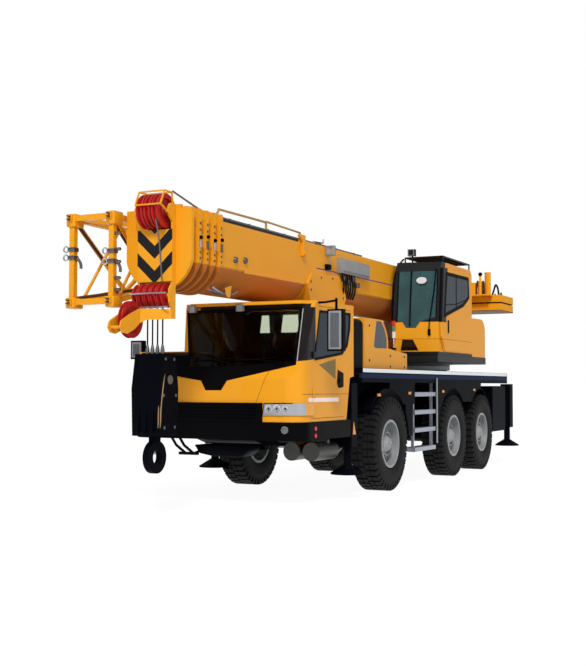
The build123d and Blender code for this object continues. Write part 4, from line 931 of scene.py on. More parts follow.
for y in (0.185, 0.155):
    route = [(5.50, y, 1.78), (5.590, y + 0.02, 1.50), (5.63, y + 0.015, 1.2), (5.60, y, 1.0)]
    slings.append(bar(route, 0.008, True))
dress(slings, "hook_block_slings", "rope_tan", HOOK)
latch = bar([(5.44, -0.05, 0.885), (5.47, 0.0, 0.80), (5.46, 0.02, 0.735)], 0.011, True)
dress(latch, "hook_latch", "rod_chrome", HOOK)
print("hook block dressed", len(added))

# %% [markdown]
# On the carrier cab the small parts say what it is: rubber round each window, two wipers parked on the
# screen, a bright strip on the pillar, a black handle pull, a kick window and a reflector strip in the
# door, and work lamps under the visor. Two bright panes stand for the daylight in the rear window. Flat
# trims are plates from an outline; pipes are bars along a path. A ray finds where the curved front lies,
# so that each piece sits on it.


# %% Carrier cab trim
CARRIER = "carrier"
CAB_DOOR = "carrier_cab_door"
AHEAD, MISSED = 6.0, 5.9


def reach(node, start, heading):
    """Where a straight line from a point first meets a piece, or its start where it meets none."""
    found, place, _, _ = nodes[node].ray_cast(Vector(start), Vector(heading))
    return place if found else Vector(start)


def from_ahead(node, y, z):
    """Where a line from straight ahead meets a piece."""
    return reach(node, (AHEAD, y, z), (-1, 0, 0))


def on_front(y, z, lift):
    """A point on the carrier cab's front, lifted off it by a little."""
    hits = [from_ahead(node, y, z) for node in ("front_grille", "carrier_cab_glass", "carrier_cab_shell")]
    return Vector((max(hit.x for hit in hits if hit.x < MISSED) + lift, y, z))


DOOR_Y = reach(CAB_DOOR, (3.2, 2.0, 1.7), (0, -1, 0)).y
SHELL_Y = reach("carrier_cab_shell", (3.84, 2.0, 1.35), (0, -1, 0)).y
side_window = [
    (2.690, 2.065), (2.870, 1.945), (3.725, 1.850), (3.720, 1.965), (3.585, 2.495), (2.590, 2.515),
    (2.605, 2.290),
]
seal = frame_of(side_window, "Y", DOOR_Y - 0.012, 0.030, 0.017)
dress(seal, "cab_door_window_seal", "trim_black", CAB_DOOR)
kick = plate([(3.600, 1.800), (3.075, 1.885), (3.090, 1.620)], "Y", DOOR_Y - 0.004, DOOR_Y + 0.003)
dress(chamfered(kick, 0.002), "cab_door_kick_window", "amber_glass", CAB_DOOR)
pull_outline = [(2.825, 1.700), (3.010, 1.745), (3.040, 1.560), (2.985, 1.500), (2.825, 1.515)]
pull = chamfered(plate(pull_outline, "Y", DOOR_Y - 0.004, DOOR_Y + 0.004), 0.003)
lever = slab((2.880, DOOR_Y + 0.003, 1.575), (2.985, DOOR_Y + 0.018, 1.625), 0.005)
dress([pull, lever], "cab_door_handle", "trim_black", CAB_DOOR)
# The reflector strips glow with painted light.
strip = slab((2.990, DOOR_Y - 0.003, 1.325), (3.770, DOOR_Y + 0.004, 1.380), 0.002)
dress(strip, "door_reflector_strip", "glowing_reflector_white", CAB_DOOR)
front_strip = slab((3.790, SHELL_Y - 0.003, 1.325), (3.900, SHELL_Y + 0.004, 1.380), 0.002)
dress(front_strip, "cab_reflector_strip", "glowing_reflector_white", CARRIER)
# Painted shade: the door pane is an opaque dark sheet for the shaded cab behind it.
pane = plate(side_window, "Y", DOOR_Y - 0.014, DOOR_Y - 0.004)
dress(pane, "cab_door_glass", "window_shade_pane", CAB_DOOR)

screen = [
    (-0.615, 2.508), (1.058, 2.508), (1.110, 1.835), (0.250, 1.765), (-0.430, 1.780), (-0.436, 1.935),
]
down_pillar = (0.0, 0.25, 0.5, 0.75, 1.0)
pillar_line = [on_front(1.058 + 0.052 * t + 0.036, 2.508 - 0.673 * t, 0.004) for t in down_pillar]
dress(bar(pillar_line, 0.0075), "screen_pillar_strip", "rim_silver", CARRIER)
rubber_line = [on_front(y, z, -0.002) for y, z in (*screen, screen[0])]
dress(bar(rubber_line, 0.011), "screen_rubber", "trim_black", CARRIER)
BLADE = 0.62
wipers = []
for foot_y, tip_y in ((0.92, 0.22), (0.18, -0.38)):
    foot = on_front(foot_y, 1.800, 0.010)
    middle = (on_front(tip_y, 1.852, 0.022) + on_front(tip_y + BLADE, 1.880, 0.014)) / 2
    arm = [foot, foot + Vector((0.022, -0.03, 0.03)), middle + Vector((0.014, 0, 0))]
    blade = [on_front(tip_y, 1.852, 0.008), middle, on_front(tip_y + BLADE, 1.880, 0.008)]
    pivot = [(0, 0), (0, 0.022), (0.022, 0.018), (0.022, 0)]
    wipers += [bar(arm, 0.0075), bar(blade, 0.006), turned(pivot, foot - Vector((0.012, 0, 0)), "X", 18)]
dress(wipers, "windscreen_wipers", "trim_black", CARRIER)


def square_lamp(centre, size, depth):
    """A square work lamp that faces forwards: a shell with its front pushed in, and a lens."""
    centre = Vector(centre)
    half = Vector((depth / 2, size / 2, size / 2))
    shell = slab(centre - half, centre + half, 0.006, 2)
    with editing(shell, lambda place, normal: normal.x > 0.9):
        bpy.ops.mesh.inset(thickness=size * 0.09)
        push((-depth * 0.3, 0, 0))
    lens_half = Vector((depth * 0.06, size * 0.40, size * 0.40))
    lens_centre = centre + Vector((depth * 0.36, 0, 0))
    return shell, slab(lens_centre - lens_half, lens_centre + lens_half, 0.003)


roof_lamps = [square_lamp((on_front(y, 2.535, 0.045).x, y, 2.545), 0.095, 0.07) for y in (0.20, -0.52)]
dress([shell for shell, lens in roof_lamps], "cab_work_lamps", "rim_silver", CARRIER)
dress([lens for shell, lens in roof_lamps], "cab_work_lamp_lenses", "lamp_clear", CARRIER)
rear_panes = []
for low, high in ((-0.150, 0.005), (0.185, 0.460)):
    corners = [(low, 2.275), (high, 2.275), (high - 0.015, 2.520), (low + 0.03, 2.520)]
    rear_panes.append(chamfered(plate(corners, "X", 2.556, 2.562), 0.002))
dress(rear_panes, "cab_rear_daylight", "daylight", CARRIER)
print("cab trim", len(added))

# %% [markdown]
# A headlamp has three chrome cups beside each other, each with its dark bulb, and a black edge line.
# They sit just on the lens of the model. Low on the bumper are a round fog lamp and red markers, and
# under the door a pale step bar.

# %% Headlamps and bumper lamps
LAMP_Z = 1.247
cups, bulbs = [], []
for side in SIDES.values():
    for y, radius in ((0.810, 0.050), (0.925, 0.058), (1.040, 0.048)):
        place = (from_ahead("headlamps", side * y, 1.245).x, side * y, LAMP_Z)
        cup_profile = [
            (0.004, radius), (0.006, radius - 0.005), (-0.002, radius * 0.55), (-0.003, 0.0), (-0.006, 0),
            (-0.006, radius),
        ]
        cups.append(turned(cup_profile, place, "X", 28))
        bulbs.append(turned([(-0.002, 0.0), (-0.002, 0.014), (0.006, 0.012), (0.008, 0.0)], place, "X", 16))
dress(cups, "headlamp_cups", "rod_chrome", CARRIER)
dress(bulbs, "headlamp_bulbs", "glass_dark", CARRIER)
lamp_edges = []
for side in SIDES.values():
    line = [(0.725, 1.172), (0.748, 1.312), (0.90, 1.314), (1.04, 1.314), (1.13, 1.312)]
    points = [from_ahead("headlamps", side * y, z) + Vector((0.002, 0, 0)) for y, z in line]
    lamp_edges.append(bar([point for point in points if point.x < MISSED], 0.006))
dress(lamp_edges, "headlamp_edges", "trim_black", CARRIER)
FOG_Y, FOG_Z, MARK_X = 1.03, 0.985, 3.72
fog_profile = [(-0.010, 0), (-0.010, 0.048), (0.008, 0.048), (0.010, 0.040), (0.006, 0.036), (0.012, 0.0)]
mark_profile = [(-0.01, 0), (-0.01, 0.028), (0.008, 0.026), (0.012, 0)]
fogs, marks = [], []
for side in SIDES.values():
    front = from_ahead("front_bumper", side * FOG_Y, FOG_Z).x
    fogs.append(turned(fog_profile, (front, side * FOG_Y, FOG_Z), "X", 28))
    for z in (0.995, 0.905):
        skin = reach("front_bumper", (MARK_X, side * 2.0, z), (0, -side, 0)).y
        mark = turned(mark_profile, (MARK_X, 0, z), "Y", 20)
        mark.data.transform(Matrix.Translation((0, skin, 0)) @ Matrix.Scale(side, 4, AXIS["Y"]))
        if side < 0:
            mark.data.flip_normals()
        marks.append(mark)
dress(fogs, "bumper_fog_lamps", "lamp_clear", CARRIER)
dress(marks, "bumper_side_markers", "lamp_red", CARRIER)
step_bar = slab((2.86, 1.10, 0.905), (3.42, 1.245, 0.935), 0.006)
with editing(step_bar, lambda place, normal: normal.z > 0.9):
    bpy.ops.mesh.inset(thickness=0.018)
    push((0, 0, -0.006))
dress(step_bar, "cab_entry_step", "step_alloy", CARRIER)
print("lamps", len(added))

# %% [markdown]
# The left mirror has a pale grey moulded back with a raised middle, and glass on the rear face. The
# right one is the same at its own size. All are thin slabs on the housings of the model.

# %% Mirrors
MIRROR_BOXES = {
    # side: low corner, high corner of the housing
    "left": ((3.790, 1.490, 1.960), (3.870, 1.705, 2.480)),
    "right": ((3.560, -1.600, 1.895), (3.640, -1.400, 2.150)),
}
MARGIN = 0.022
for side, ((x_low, y_low, z_low), (x_high, y_high, z_high)) in MIRROR_BOXES.items():
    layers = {
        # name: margin, rear x, front x, chamfer, finish
        "cover": (MARGIN, x_high - 0.004, x_high + 0.014, (0.008, 2), "engine_grey"),
        "cover_middle": (MARGIN * 2.2, x_high + 0.012, x_high + 0.020, (0.004, 1), "mesh_grey"),
        "glass": (MARGIN, x_low - 0.004, x_low + 0.004, (0.003, 1), "mirror_silver"),
    }
    for layer, (margin, rear, front, edge, finish) in layers.items():
        near, far = (rear, y_low + margin, z_low + margin), (front, y_high - margin, z_high - margin)
        dress(slab(near, far, *edge), f"mirror_{layer}_{side}", finish, CARRIER)
print("mirrors", list(MIRROR_BOXES))

# %% [markdown]
# The operator's cab is glazed on the front, the door and the inner side. The door's pane lies in a broad
# black border with a sliding part, and the front has a slim post, a long wiper and grab rails at its
# edges. On the roof a black grid with rails keeps the operator's feet off the glass, and a square lamp
# looks forwards. A small tower of coloured lamps stands in front of the cab's inner corner.

# %% Operator's cab
UPPER, UPPER_DOOR = "upper_works", "operator_cab_door"
UPPER_SKIN = 1.259
FRONT_CORNER = [(2.060, -1.185), (2.300, -1.165), (2.660, -1.165), (3.480, -1.270), (3.625, -1.375)]


def cab_front(y, z, out=0.0):
    """A point on the swept front of the cab, or a little in front of it."""
    x = FRONT_CORNER[-1][1]
    for (low, x_low), (high, x_high) in zip(FRONT_CORNER, FRONT_CORNER[1:]):
        if z <= high:
            x = x_low + (x_high - x_low) * (z - low) / (high - low) + FRONT_SWEEP * (CAB_CORNER_Y - y)
            break
    return Vector((x + out, y, z))


door_window = [(-2.730, 3.473), (-1.477, 3.461), (-1.345, 2.678), (-2.423, 2.930), (-2.768, 3.102)]
# Painted shade: the door pane is an opaque dark sheet for the shaded cab behind it.
pane = plate(door_window, "Y", UPPER_SKIN - 0.004, UPPER_SKIN + 0.001)
dress(pane, "upper_door_glass", "window_shade_pane", UPPER_DOOR)
border = frame_of(door_window, "Y", UPPER_SKIN - 0.002, 0.060, 0.007)
sash = slab((-2.030, UPPER_SKIN, 2.880), (-1.995, UPPER_SKIN + 0.005, 3.440), 0.002)
rail = bar([(-2.72, UPPER_SKIN, 3.09), (-2.02, UPPER_SKIN, 2.945), (-1.42, UPPER_SKIN, 2.90)], 0.010)
dress([border, sash, rail], "upper_door_window_border", "trim_black", UPPER_DOOR)
grip = slab((-1.590, UPPER_SKIN - 0.002, 2.424), (-1.540, UPPER_SKIN + 0.014, 2.645), 0.008, 2)
dress(grip, "upper_door_handle", "trim_black", UPPER_DOOR)
inner_outline = [(-2.900, 2.800), (-1.700, 2.800), (-1.700, 3.450), (-2.900, 3.450)]
# Painted shade: the inner pane is the same opaque dark sheet.
inner_window = plate(inner_outline, "Y", 0.474, 0.482)
dress(inner_window, "upper_inner_glass", "window_shade_pane", UPPER)
POST_LINES = (
    # y, foot, top, radius
    (0.752, 2.53, 3.46, 0.013),
    (1.185, 2.66, 3.47, 0.010),
    (0.540, 2.60, 3.47, 0.010),
)
posts = []
for y, low, high, radius in POST_LINES:
    posts.append(bar([cab_front(y, z, 0.006) for z in (low, (low + high) / 2, high)], radius))
wiper_line = [(1.160, 3.50, 0.030), (1.140, 3.10, 0.034), (1.085, 2.60, 0.036), (1.075, 2.46, 0.026)]
posts.append(bar([cab_front(*point) for point in wiper_line], 0.011))
foot = cab_front(1.075, 2.42)
posts.append(slab(foot + Vector((-0.002, -0.022, -0.050)), foot + Vector((0.034, 0.022, 0.060)), 0.006))
rail_line = [
    (0.515, 3.700, -0.045), (0.490, 3.64, 0.055), (0.478, 3.40, 0.055), (0.472, 2.90, 0.050),
    (0.472, 2.36, 0.050), (0.480, 2.30, 0.0),
]
posts.append(bar([cab_front(*point) for point in rail_line], 0.015, True))
dress(posts, "upper_cab_front_bars", "trim_black", UPPER)
GRID_R = 0.006
grid_places = [-2.95 + 0.075 * n for n in range(20)]
grid = [bar([(x, 0.508, 3.735), (x, 1.185, 3.735)], GRID_R) for x in grid_places]
grid += [bar([(-3.0, y, 3.728), (-1.52, y, 3.728)], GRID_R) for y in (0.62, 0.73, 0.84, 0.95, 1.06)]
dress(grid, "upper_cab_roof_grid", "trim_black", UPPER)
shell, lens = square_lamp((-1.296, 0.710, 3.794), 0.108, 0.085)
dress(shell, "upper_cab_work_lamp", "rim_silver", UPPER)
dress(lens, "upper_cab_work_lamp_lens", "lamp_clear", UPPER)
disc = turned([(-0.02, 0), (-0.02, 0.060), (0.0, 0.080), (0.006, 0.076), (0.010, 0)], ORIGIN, "X", 32)
disc.data.transform(Matrix.Translation(cab_front(0.930, 3.300, 0.030)) @ Matrix.Diagonal((1, 1.15, 0.72, 1)))
dress(disc, "upper_cab_round_mirror", "mirror_white", UPPER)
vent = slab((-2.78, 1.208, 2.130), (-2.42, 1.222, 2.155), 0.003)
dress(vent, "upper_cab_vent", "trim_black", UPPER)
TOWER_X, TOWER_Y = -0.975, 0.500
for low, high, radius, finish in (
    (2.160, 2.330, 0.013, "step_alloy"), (2.330, 2.440, 0.030, "glowing_reflector_white"),
    (2.440, 2.530, 0.032, "lamp_green"), (2.530, 2.620, 0.032, "lamp_red"),
):
    drum_profile = [(low, 0), (low, radius), (high - 0.004, radius), (high, radius * 0.8), (high, 0)]
    drum = turned(drum_profile, (TOWER_X, TOWER_Y, 0), "Z", 24)
    dress(drum, f"signal_tower_{finish}", finish, UPPER)
base = slab((-1.020, TOWER_Y - 0.03, 2.140), (TOWER_X + 0.03, TOWER_Y + 0.03, 2.165))
dress(base, "signal_tower_base", "trim_black", UPPER)
print("operator's cab dressed", len(added))

# %% [markdown]
# Seats are foam under cloth: a cushion, a back and a head rest each start as a block cut into a grid,
# whose broad face is crowned by a smooth formula and whose corners are pulled round by subdivision.
# They take the room of the plain seats of the model, which they replace together with pedestals, dash
# and steering wheel.


# %% Seats and controls
def cushion(low, high, crown, toward):
    """A padded block: gridded, crowned on one side and rounded all over."""
    low, high = Vector(low), Vector(high)
    piece = block(low, high)
    with editing(piece):
        bpy.ops.mesh.subdivide(number_cuts=5)
    centre, half = (low + high) / 2, (high - low) / 2
    for vertex in piece.data.vertices:
        offset = vertex.co - centre
        share = [offset[axis] / half[axis] for axis in range(3)]
        flat = [1 - share[axis] ** 2 for axis in range(3) if toward[axis] == 0]
        swell = flat[0] * flat[1]
        outside = sum(share[axis] * toward[axis] for axis in range(3))
        for axis in range(3):
            if toward[axis] == 0:
                vertex.co[axis] -= offset[axis] * 0.05 * abs(outside)
        vertex.co -= Vector(toward) * crown * (1 - swell) * max(outside, 0.0)
    take(piece)
    smooth = piece.modifiers.new("foam", "SUBSURF")
    smooth.levels = 2
    bpy.ops.object.modifier_apply(modifier=smooth.name)
    return piece


def seat(name, x_low, x_high, y, half, floor, top, back_top, body, replaced):
    """A cab seat: cushion, back, head rest and side bolsters, on a pedestal."""
    up, forwards = (0, 0, 1), (1, 0, 0)
    foam = [cushion((x_low, y - half, top - 0.13), (x_high, y + half, top), 0.045, up)]
    for side in (-1, 1):
        edge = y + side * half * 0.98
        low, high = (x_low + 0.06, edge - 0.035, top - 0.09), (x_high - 0.01, edge + 0.035, top + 0.012)
        foam.append(cushion(low, high, 0.02, up))
    low, high = (x_low - 0.06, y - half * 0.94, top - 0.01), (x_low + 0.075, y + half * 0.94, back_top - 0.19)
    foam.append(cushion(low, high, 0.05, forwards))
    low, high = (x_low - 0.03, y - half * 0.5, back_top - 0.175), (x_low + 0.055, y + half * 0.5, back_top)
    foam.append(cushion(low, high, 0.03, forwards))
    padded = dress(foam, name, "cabin_grey", body)
    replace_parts(padded, replaced)
    low, high = (x_low + 0.10, y - half * 0.6, floor), (x_high - 0.08, y + half * 0.6, top - 0.12)
    stand = [slab(low, high, 0.02, 2)]
    for side in (-1, 1):
        stay_y = y + side * 0.06
        stand.append(bar([(x_low, stay_y, back_top - 0.26), (x_low, stay_y, back_top - 0.10)], 0.008))
    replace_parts(dress(stand, name + "_stand", "trim_black", body), replaced)


for number, y in enumerate((-0.150, 0.700), 1):
    name = f"carrier_seat_{number}"
    seat(name, 2.860, 3.300, y, 0.240, 1.130, 1.575, 2.275, CARRIER, "carrier_cab_interior")
seat("operator_seat", -2.780, -2.260, 0.846, 0.225, 2.110, 2.560, 3.200, UPPER, "operator_cab_interior")

WHEEL_R, WHEEL_LEAN = 0.215, math.radians(38)
rim = turned(round_section(WHEEL_R, 0.014, 10), ORIGIN, "X", 40)
hub = turned([(-0.02, 0), (-0.02, 0.045), (0.012, 0.05), (0.02, 0.03), (0.02, 0)], ORIGIN, "X", 24)
spokes = []
for angle in (math.pi, math.pi * 0.38, -math.pi * 0.38):
    spokes.append(bar([ORIGIN, (0, math.sin(angle) * WHEEL_R, math.cos(angle) * WHEEL_R)], 0.010))
steering_wheel = joined([rim, hub, *spokes, bar([ORIGIN, (0.34, 0, 0)], 0.028)])
steering_wheel.data.transform(Matrix.Translation((3.470, 0.700, 1.720)) @ Matrix.Rotation(WHEEL_LEAN, 4, "Y"))
dress(steering_wheel, "carrier_steering_wheel", "trim_black", CARRIER)
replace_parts(steering_wheel, "carrier_cab_interior")
dash = block((3.560, -0.900, 1.125), (3.960, 1.050, 1.600))
with editing(dash, lambda centre, normal: normal.z > 0.9):
    bpy.ops.mesh.inset(thickness=0.05)
    push((-0.02, 0, 0.035))
binnacle = slab((3.580, 0.500, 1.600), (3.760, 0.900, 1.740), 0.03, 3)
dash = dress([chamfered(dash, 0.03, 3), binnacle], "carrier_dash", "trim_black", CARRIER)
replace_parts(dash, "carrier_cab_interior")
consoles = []
stick_knob = [(2.73, 0), (2.735, 0.022), (2.76, 0.026), (2.785, 0.018), (2.79, 0)]
for y in (0.600, 1.090):
    consoles.append(slab((-2.620, y - 0.045, 2.500), (-2.180, y + 0.045, 2.620), 0.025, 3))
    consoles.append(bar([(-2.230, y, 2.600), (-2.220, y, 2.740)], 0.010))
    consoles.append(turned(stick_knob, (-2.218, y, 0), "Z", 18))
consoles.append(slab((-1.62, 1.02, 2.56), (-1.59, 1.17, 2.78), 0.008))
consoles.append(bar([(-1.60, 1.10, 2.10), (-1.60, 1.10, 2.60)], 0.016))
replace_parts(dress(consoles, "operator_consoles", "trim_black", UPPER), "operator_cab_interior")
print("seats and controls", len(added))

# %% [markdown]
# Along the boom's side run the small services: a grey equipment box with hoses and valves under it, a
# work lamp on a stalk, a guide bracket and a hooked rod, a pipe along the top edge, and stiffener seams.
# Guards stand on top, two plugs and a strip along the fold sit near the front, and a lug and short
# hoses hang under it. The saddle under the boom is bolted through its ends.

# %% Fittings on the boom
BOOM = "boom"
BOOM_SIDE = 0.420
SKIN = BOOM_SIDE - 0.004
box = block((0.080, SKIN, 3.230), (1.190, BOOM_SIDE + 0.085, 3.450))
with editing(box, lambda centre, normal: normal.y > 0.9):
    bpy.ops.mesh.inset(thickness=0.030)
    push((0, 0.012, 0))
box_parts = [chamfered(box, 0.010, 2)]
for x in (0.12, 0.47, 0.82):
    box_parts.append(slab((x, BOOM_SIDE + 0.09, 3.262), (x + 0.30, BOOM_SIDE + 0.106, 3.418), 0.006))
dress(box_parts, "boom_equipment_box", "engine_grey", BOOM)
hoses = []
for n in range(6):
    start_x, end_x = 1.10 - 0.09 * n, 1.02 - 0.085 * n
    middle = (0.5 * (start_x + end_x) + 0.05, BOOM_SIDE + 0.085, 3.08 - 0.02 * (n % 3))
    route = [(start_x, BOOM_SIDE + 0.05, 3.25), middle, (end_x, BOOM_SIDE + 0.045, 2.96)]
    hoses.append(bar([*route, (end_x - 0.05, 0.40, 2.87)], 0.014, True))
dress(hoses, "boom_hoses", "tyre_rubber", BOOM)
valves = []
for x, z in ((0.98, 3.12), (0.80, 3.08), (0.62, 3.13), (0.44, 3.06)):
    valves.append(slab((x, BOOM_SIDE, z), (x + 0.11, BOOM_SIDE + 0.07, z + 0.075), 0.008))
dress(valves, "boom_valves", "steel_dark", BOOM)

bracket_outline = [
    (2.350, 3.350), (2.430, 3.350), (2.430, 3.560), (2.520, 3.620), (2.520, 3.650), (2.350, 3.650),
]
bracket = chamfered(plate(bracket_outline, "Y", SKIN, BOOM_SIDE + 0.045), 0.006)
roller = turned([(0.425, 0), (0.425, 0.030), (0.480, 0.030), (0.480, 0)], (2.390, 0, 3.395), "Y", 20)
dress([bracket, roller], "boom_guide_bracket", "paint_yellow", BOOM)
guard_lines = (
    [(3.30, 0.33, 3.58), (3.28, 0.32, 3.73), (2.31, 0.35, 3.70), (2.29, 0.35, 3.58)],
    [(4.58, 0.30, 3.60), (4.50, 0.30, 3.72), (3.28, 0.32, 3.72)],
)
dress([bar(line, 0.017) for line in guard_lines], "boom_top_guards", "guard_tan", BOOM)
edge_pipe = [bar([(4.60, 0.410, 3.592), (0.2, 0.410, 3.592)], 0.012)]
edge_pipe += [slab((x, 0.395, 3.575), (x + 0.05, 0.428, 3.605)) for x in (4.4, 3.9, 3.4, 2.9, 1.9, 1.2, 0.5)]
dress(edge_pipe, "boom_edge_pipe", "steel_dark", BOOM)
stalk_y = BOOM_SIDE + 0.06
stalk = bar([(1.560, BOOM_SIDE, 3.300), (1.560, stalk_y, 3.330), (1.560, stalk_y, 3.440)], 0.011)
lamp_shell, lamp_lens = square_lamp((1.560, BOOM_SIDE + 0.065, 3.520), 0.150, 0.07)
dress([stalk, lamp_shell], "boom_lamp", "rim_silver", BOOM)
dress(lamp_lens, "boom_lamp_lens", "lamp_clear", BOOM)
foot = slab((1.50, SKIN, 3.24), (1.62, BOOM_SIDE + 0.06, 3.32), 0.008)
dress(foot, "boom_lamp_foot", "trim_black", BOOM)
hooked = [
    (1.50, 0.30, 3.582), (1.50, 0.30, 3.640), (1.78, 0.30, 3.650), (1.42, 0.30, 3.66), (1.40, 0.30, 3.72),
]
dress(bar(hooked, 0.012), "boom_hooked_rod", "steel_dark", BOOM)
SADDLE_BOLTS = ((1.02, 2.86), (1.02, 3.00), (2.15, 2.90), (2.15, 3.02), (1.40, 3.12), (1.80, 3.10))
dress(both_sides(bolt(0.019), 0.449, SADDLE_BOLTS), "saddle_bolts", "steel_dark", BOOM)
SEAM_Z = 2.995
seams = []
for start, end in ((4.62, 2.24), (0.86, -4.6)):
    seams.append(bar([(start, BOOM_SIDE, SEAM_Z), (end, BOOM_SIDE, SEAM_Z)], 0.009))
for x in (4.2, 3.4, 2.6, 0.4, -0.4):
    rib_outline = [(x, 2.965), (x + 0.055, 2.985), (x + 0.055, 3.000), (x, 3.010)]
    seams.append(plate(rib_outline, "Y", SKIN, BOOM_SIDE + 0.006))
dress(seams, "boom_seam_weld", "paint_yellow", BOOM)
plug_profile = [(-0.004, 0), (-0.004, 0.042), (0.030, 0.036), (0.030, 0)]
plugs = [turned(plug_profile, (x, BOOM_SIDE, z), "Y", 24) for x, z in ((4.30, 3.10), (4.05, 3.12))]
dress(plugs, "boom_side_plugs", "steel_dark", BOOM)
fold_outline = [(4.050, 2.955), (4.050, 3.000), (2.300, 3.000), (2.300, 2.960)]
fold_strip = plate(fold_outline, "Y", BOOM_SIDE - 0.020, BOOM_SIDE + 0.014)
dress(chamfered(fold_strip), "boom_fold_strip", "paint_yellow", BOOM)
under_hoses = [
    bar([(4.66, 0.30, 2.745), (4.50, 0.34, 2.665), (4.25, 0.33, 2.650), (4.00, 0.28, 2.735)], 0.014, True),
    bar([(4.66, 0.22, 2.725), (4.40, 0.27, 2.650), (4.15, 0.22, 2.705)], 0.012, True),
]
dress(under_hoses, "boom_under_hoses", "step_alloy", BOOM)
lug_outline = [(4.30, 2.78), (4.45, 2.74), (4.40, 2.64), (4.36, 2.62), (4.33, 2.64)]
dress(chamfered(plate(lug_outline, "Y", 0.355, 0.375)), "boom_under_lug", "paint_yellow", BOOM)
print("boom fittings", len(added))

# %% [markdown]
# The folded jib is pinned at its corners, where two slim pins stand out of each corner block. Dark
# clamps and bright rings sit half-way down the front posts, and thin diagonal stays lie behind them.

# %% Jib fittings
JIB_LEFT, JIB_RIGHT = -0.505, -1.080
JIB_CORNERS = ((JIB_RIGHT, 3.540), (JIB_LEFT, 3.540), (JIB_RIGHT, 2.530), (JIB_LEFT, 2.530))
pin_profile = [(5.640, 0), (5.640, 0.010), (5.735, 0.010), (5.740, 0.006), (5.740, 0)]
pins = []
for y, z in JIB_CORNERS:
    pins += [turned(pin_profile, (0, y, z + lift), "X", 12) for lift in (-0.020, 0.020)]
dress(pins, "jib_corner_pins", "steel_dark", BOOM)
clamps, rings = [], []
for y, heights in ((JIB_RIGHT, (3.165, 3.065)), (JIB_LEFT, (3.120, 3.000))):
    for z in heights:
        clamps.append(slab((5.555, y - 0.050, z - 0.026), (5.650, y + 0.050, z + 0.026), 0.008, 2))
        rings.append(turned(round_section(0.034, 0.011), (5.640, y - 0.080, z), "X", 24))
    low = heights[1]
    tail = [(5.60, y + 0.05, low), (5.56, y + 0.10, low - 0.06), (5.57, y + 0.09, low - 0.13)]
    clamps.append(bar(tail, 0.018, True))
stub_profile = [(0, 0), (0, 0.020), (0.080, 0.020), (0.086, 0.014), (0.086, 0)]
clamps += [turned(stub_profile, (5.600, -0.475, z), "Y", 12) for z in (3.33, 3.14, 2.99, 2.80, 2.66)]
dress(clamps, "jib_clamps", "steel_dark", BOOM)
dress(rings, "jib_clamp_rings", "rod_chrome", BOOM)
brown_stays = (
    [(5.58, -1.06, 3.49), (4.66, -1.03, 2.80)],
    [(5.58, -0.53, 3.49), (4.66, -0.56, 2.80)],
    [(5.58, -1.05, 2.58), (4.66, -0.58, 2.76)],
)
yellow_stays = ([(5.45, -1.04, 2.58), (4.75, -1.03, 3.48)], [(5.45, -0.53, 2.58), (4.75, -0.55, 3.48)])
STAY_R = 0.019
dress([bar(ends, STAY_R) for ends in brown_stays], "jib_brown_stays", "rust_brown", BOOM)
dress([bar(ends, STAY_R) for ends in yellow_stays], "jib_yellow_stays", "paint_yellow", BOOM)
corner_blocks = []
for y, z in JIB_CORNERS:
    deep = 0.105 if z > 3 else 0.077
    corner_blocks.append(slab((5.480, y - 0.068, z - deep), (5.662, y + 0.068, z + 0.055), 0.018, 2))
dress(corner_blocks, "jib_corner_blocks", "paint_yellow", BOOM)
print("jib fittings", len(added))

# %% [markdown]
# The carrier's flanks carry amber marker lamps, an amber warning triangle at each front outrigger, a
# grab rail by the ladder, and mesh in the hood's sides with fasteners beside it. Under the bumper hang
# an underframe and bent tow bars. Outrigger pads are stiffened by ribs round their stem.

# %% Deck, hood and outriggers
markers = []
for x, z in ((1.56, 1.40), (0.30, 1.42), (-1.30, 1.44), (-3.05, 1.46)):
    for side in SIDES.values():
        skin_y = reach("deck", (x, side * 2.0, z), (0, -side, 0)).y
        y = skin_y if abs(skin_y) < 1.9 else side * 1.25
        markers.append(slab((x - 0.045, y - 0.012, z - 0.020), (x + 0.045, y + 0.012, z + 0.020), 0.006, 2))
dress(markers, "side_marker_lamps", "glowing_amber", CARRIER)
for side, word, x in ((1, "left", 2.430), (-1, "right", 2.110)):
    corners = [(x + 0.030, 1.050), (x - 0.040, 0.870), (x + 0.055, 0.870)]
    triangle = chamfered(plate(corners, "Y", *span(side, 1.237, 1.246)), 0.003)
    beam = f"outrigger_beam_front_{word}"
    # The triangle is no lamp: the glow of its amber moulding is painted light.
    dress(triangle, f"warning_triangle_{word}", "glowing_amber", beam)
grab_rail = bar([(-0.955, 1.262, 0.60), (-0.955, 1.262, 1.66)], 0.014)
dress(grab_rail, "ladder_grab_rails", "rim_silver", CARRIER)
mesh_outline = [
    (1.330, 2.480), (1.430, 2.110), (1.370, 2.080), (0.905, 2.090), (0.905, 2.215), (1.000, 2.370),
    (1.140, 2.480),
]
MESH_OUT = 1.112
meshes = []
for side in SIDES.values():
    meshes.append(plate(mesh_outline, "Y", *span(side, MESH_OUT - 0.006, MESH_OUT)))
    for x in [0.95 + 0.055 * n for n in range(8)]:
        top = 2.36 if x < 1.0 else 2.46
        meshes.append(bar([(x, side * MESH_OUT, 2.10), (x, side * MESH_OUT, top)], 0.004))
dress(meshes, "hood_side_mesh", "mesh_grey", CARRIER)
quarter_turn = turned([(0, 0), (0, 0.020), (0.006, 0.018), (0.008, 0)], ORIGIN, "Y", 16)
FASTENERS = ((0.18, 1.98), (0.78, 1.98), (1.60, 1.90), (1.60, 2.40), (0.18, 1.82), (0.78, 1.82))
dress(both_sides(quarter_turn, 1.118, FASTENERS), "hood_fasteners", "trim_black", CARRIER)
frame_outline = [
    (-0.380, 0.765), (-0.300, 0.655), (-0.120, 0.625), (0.330, 0.625), (0.430, 0.700), (0.430, 0.765),
]
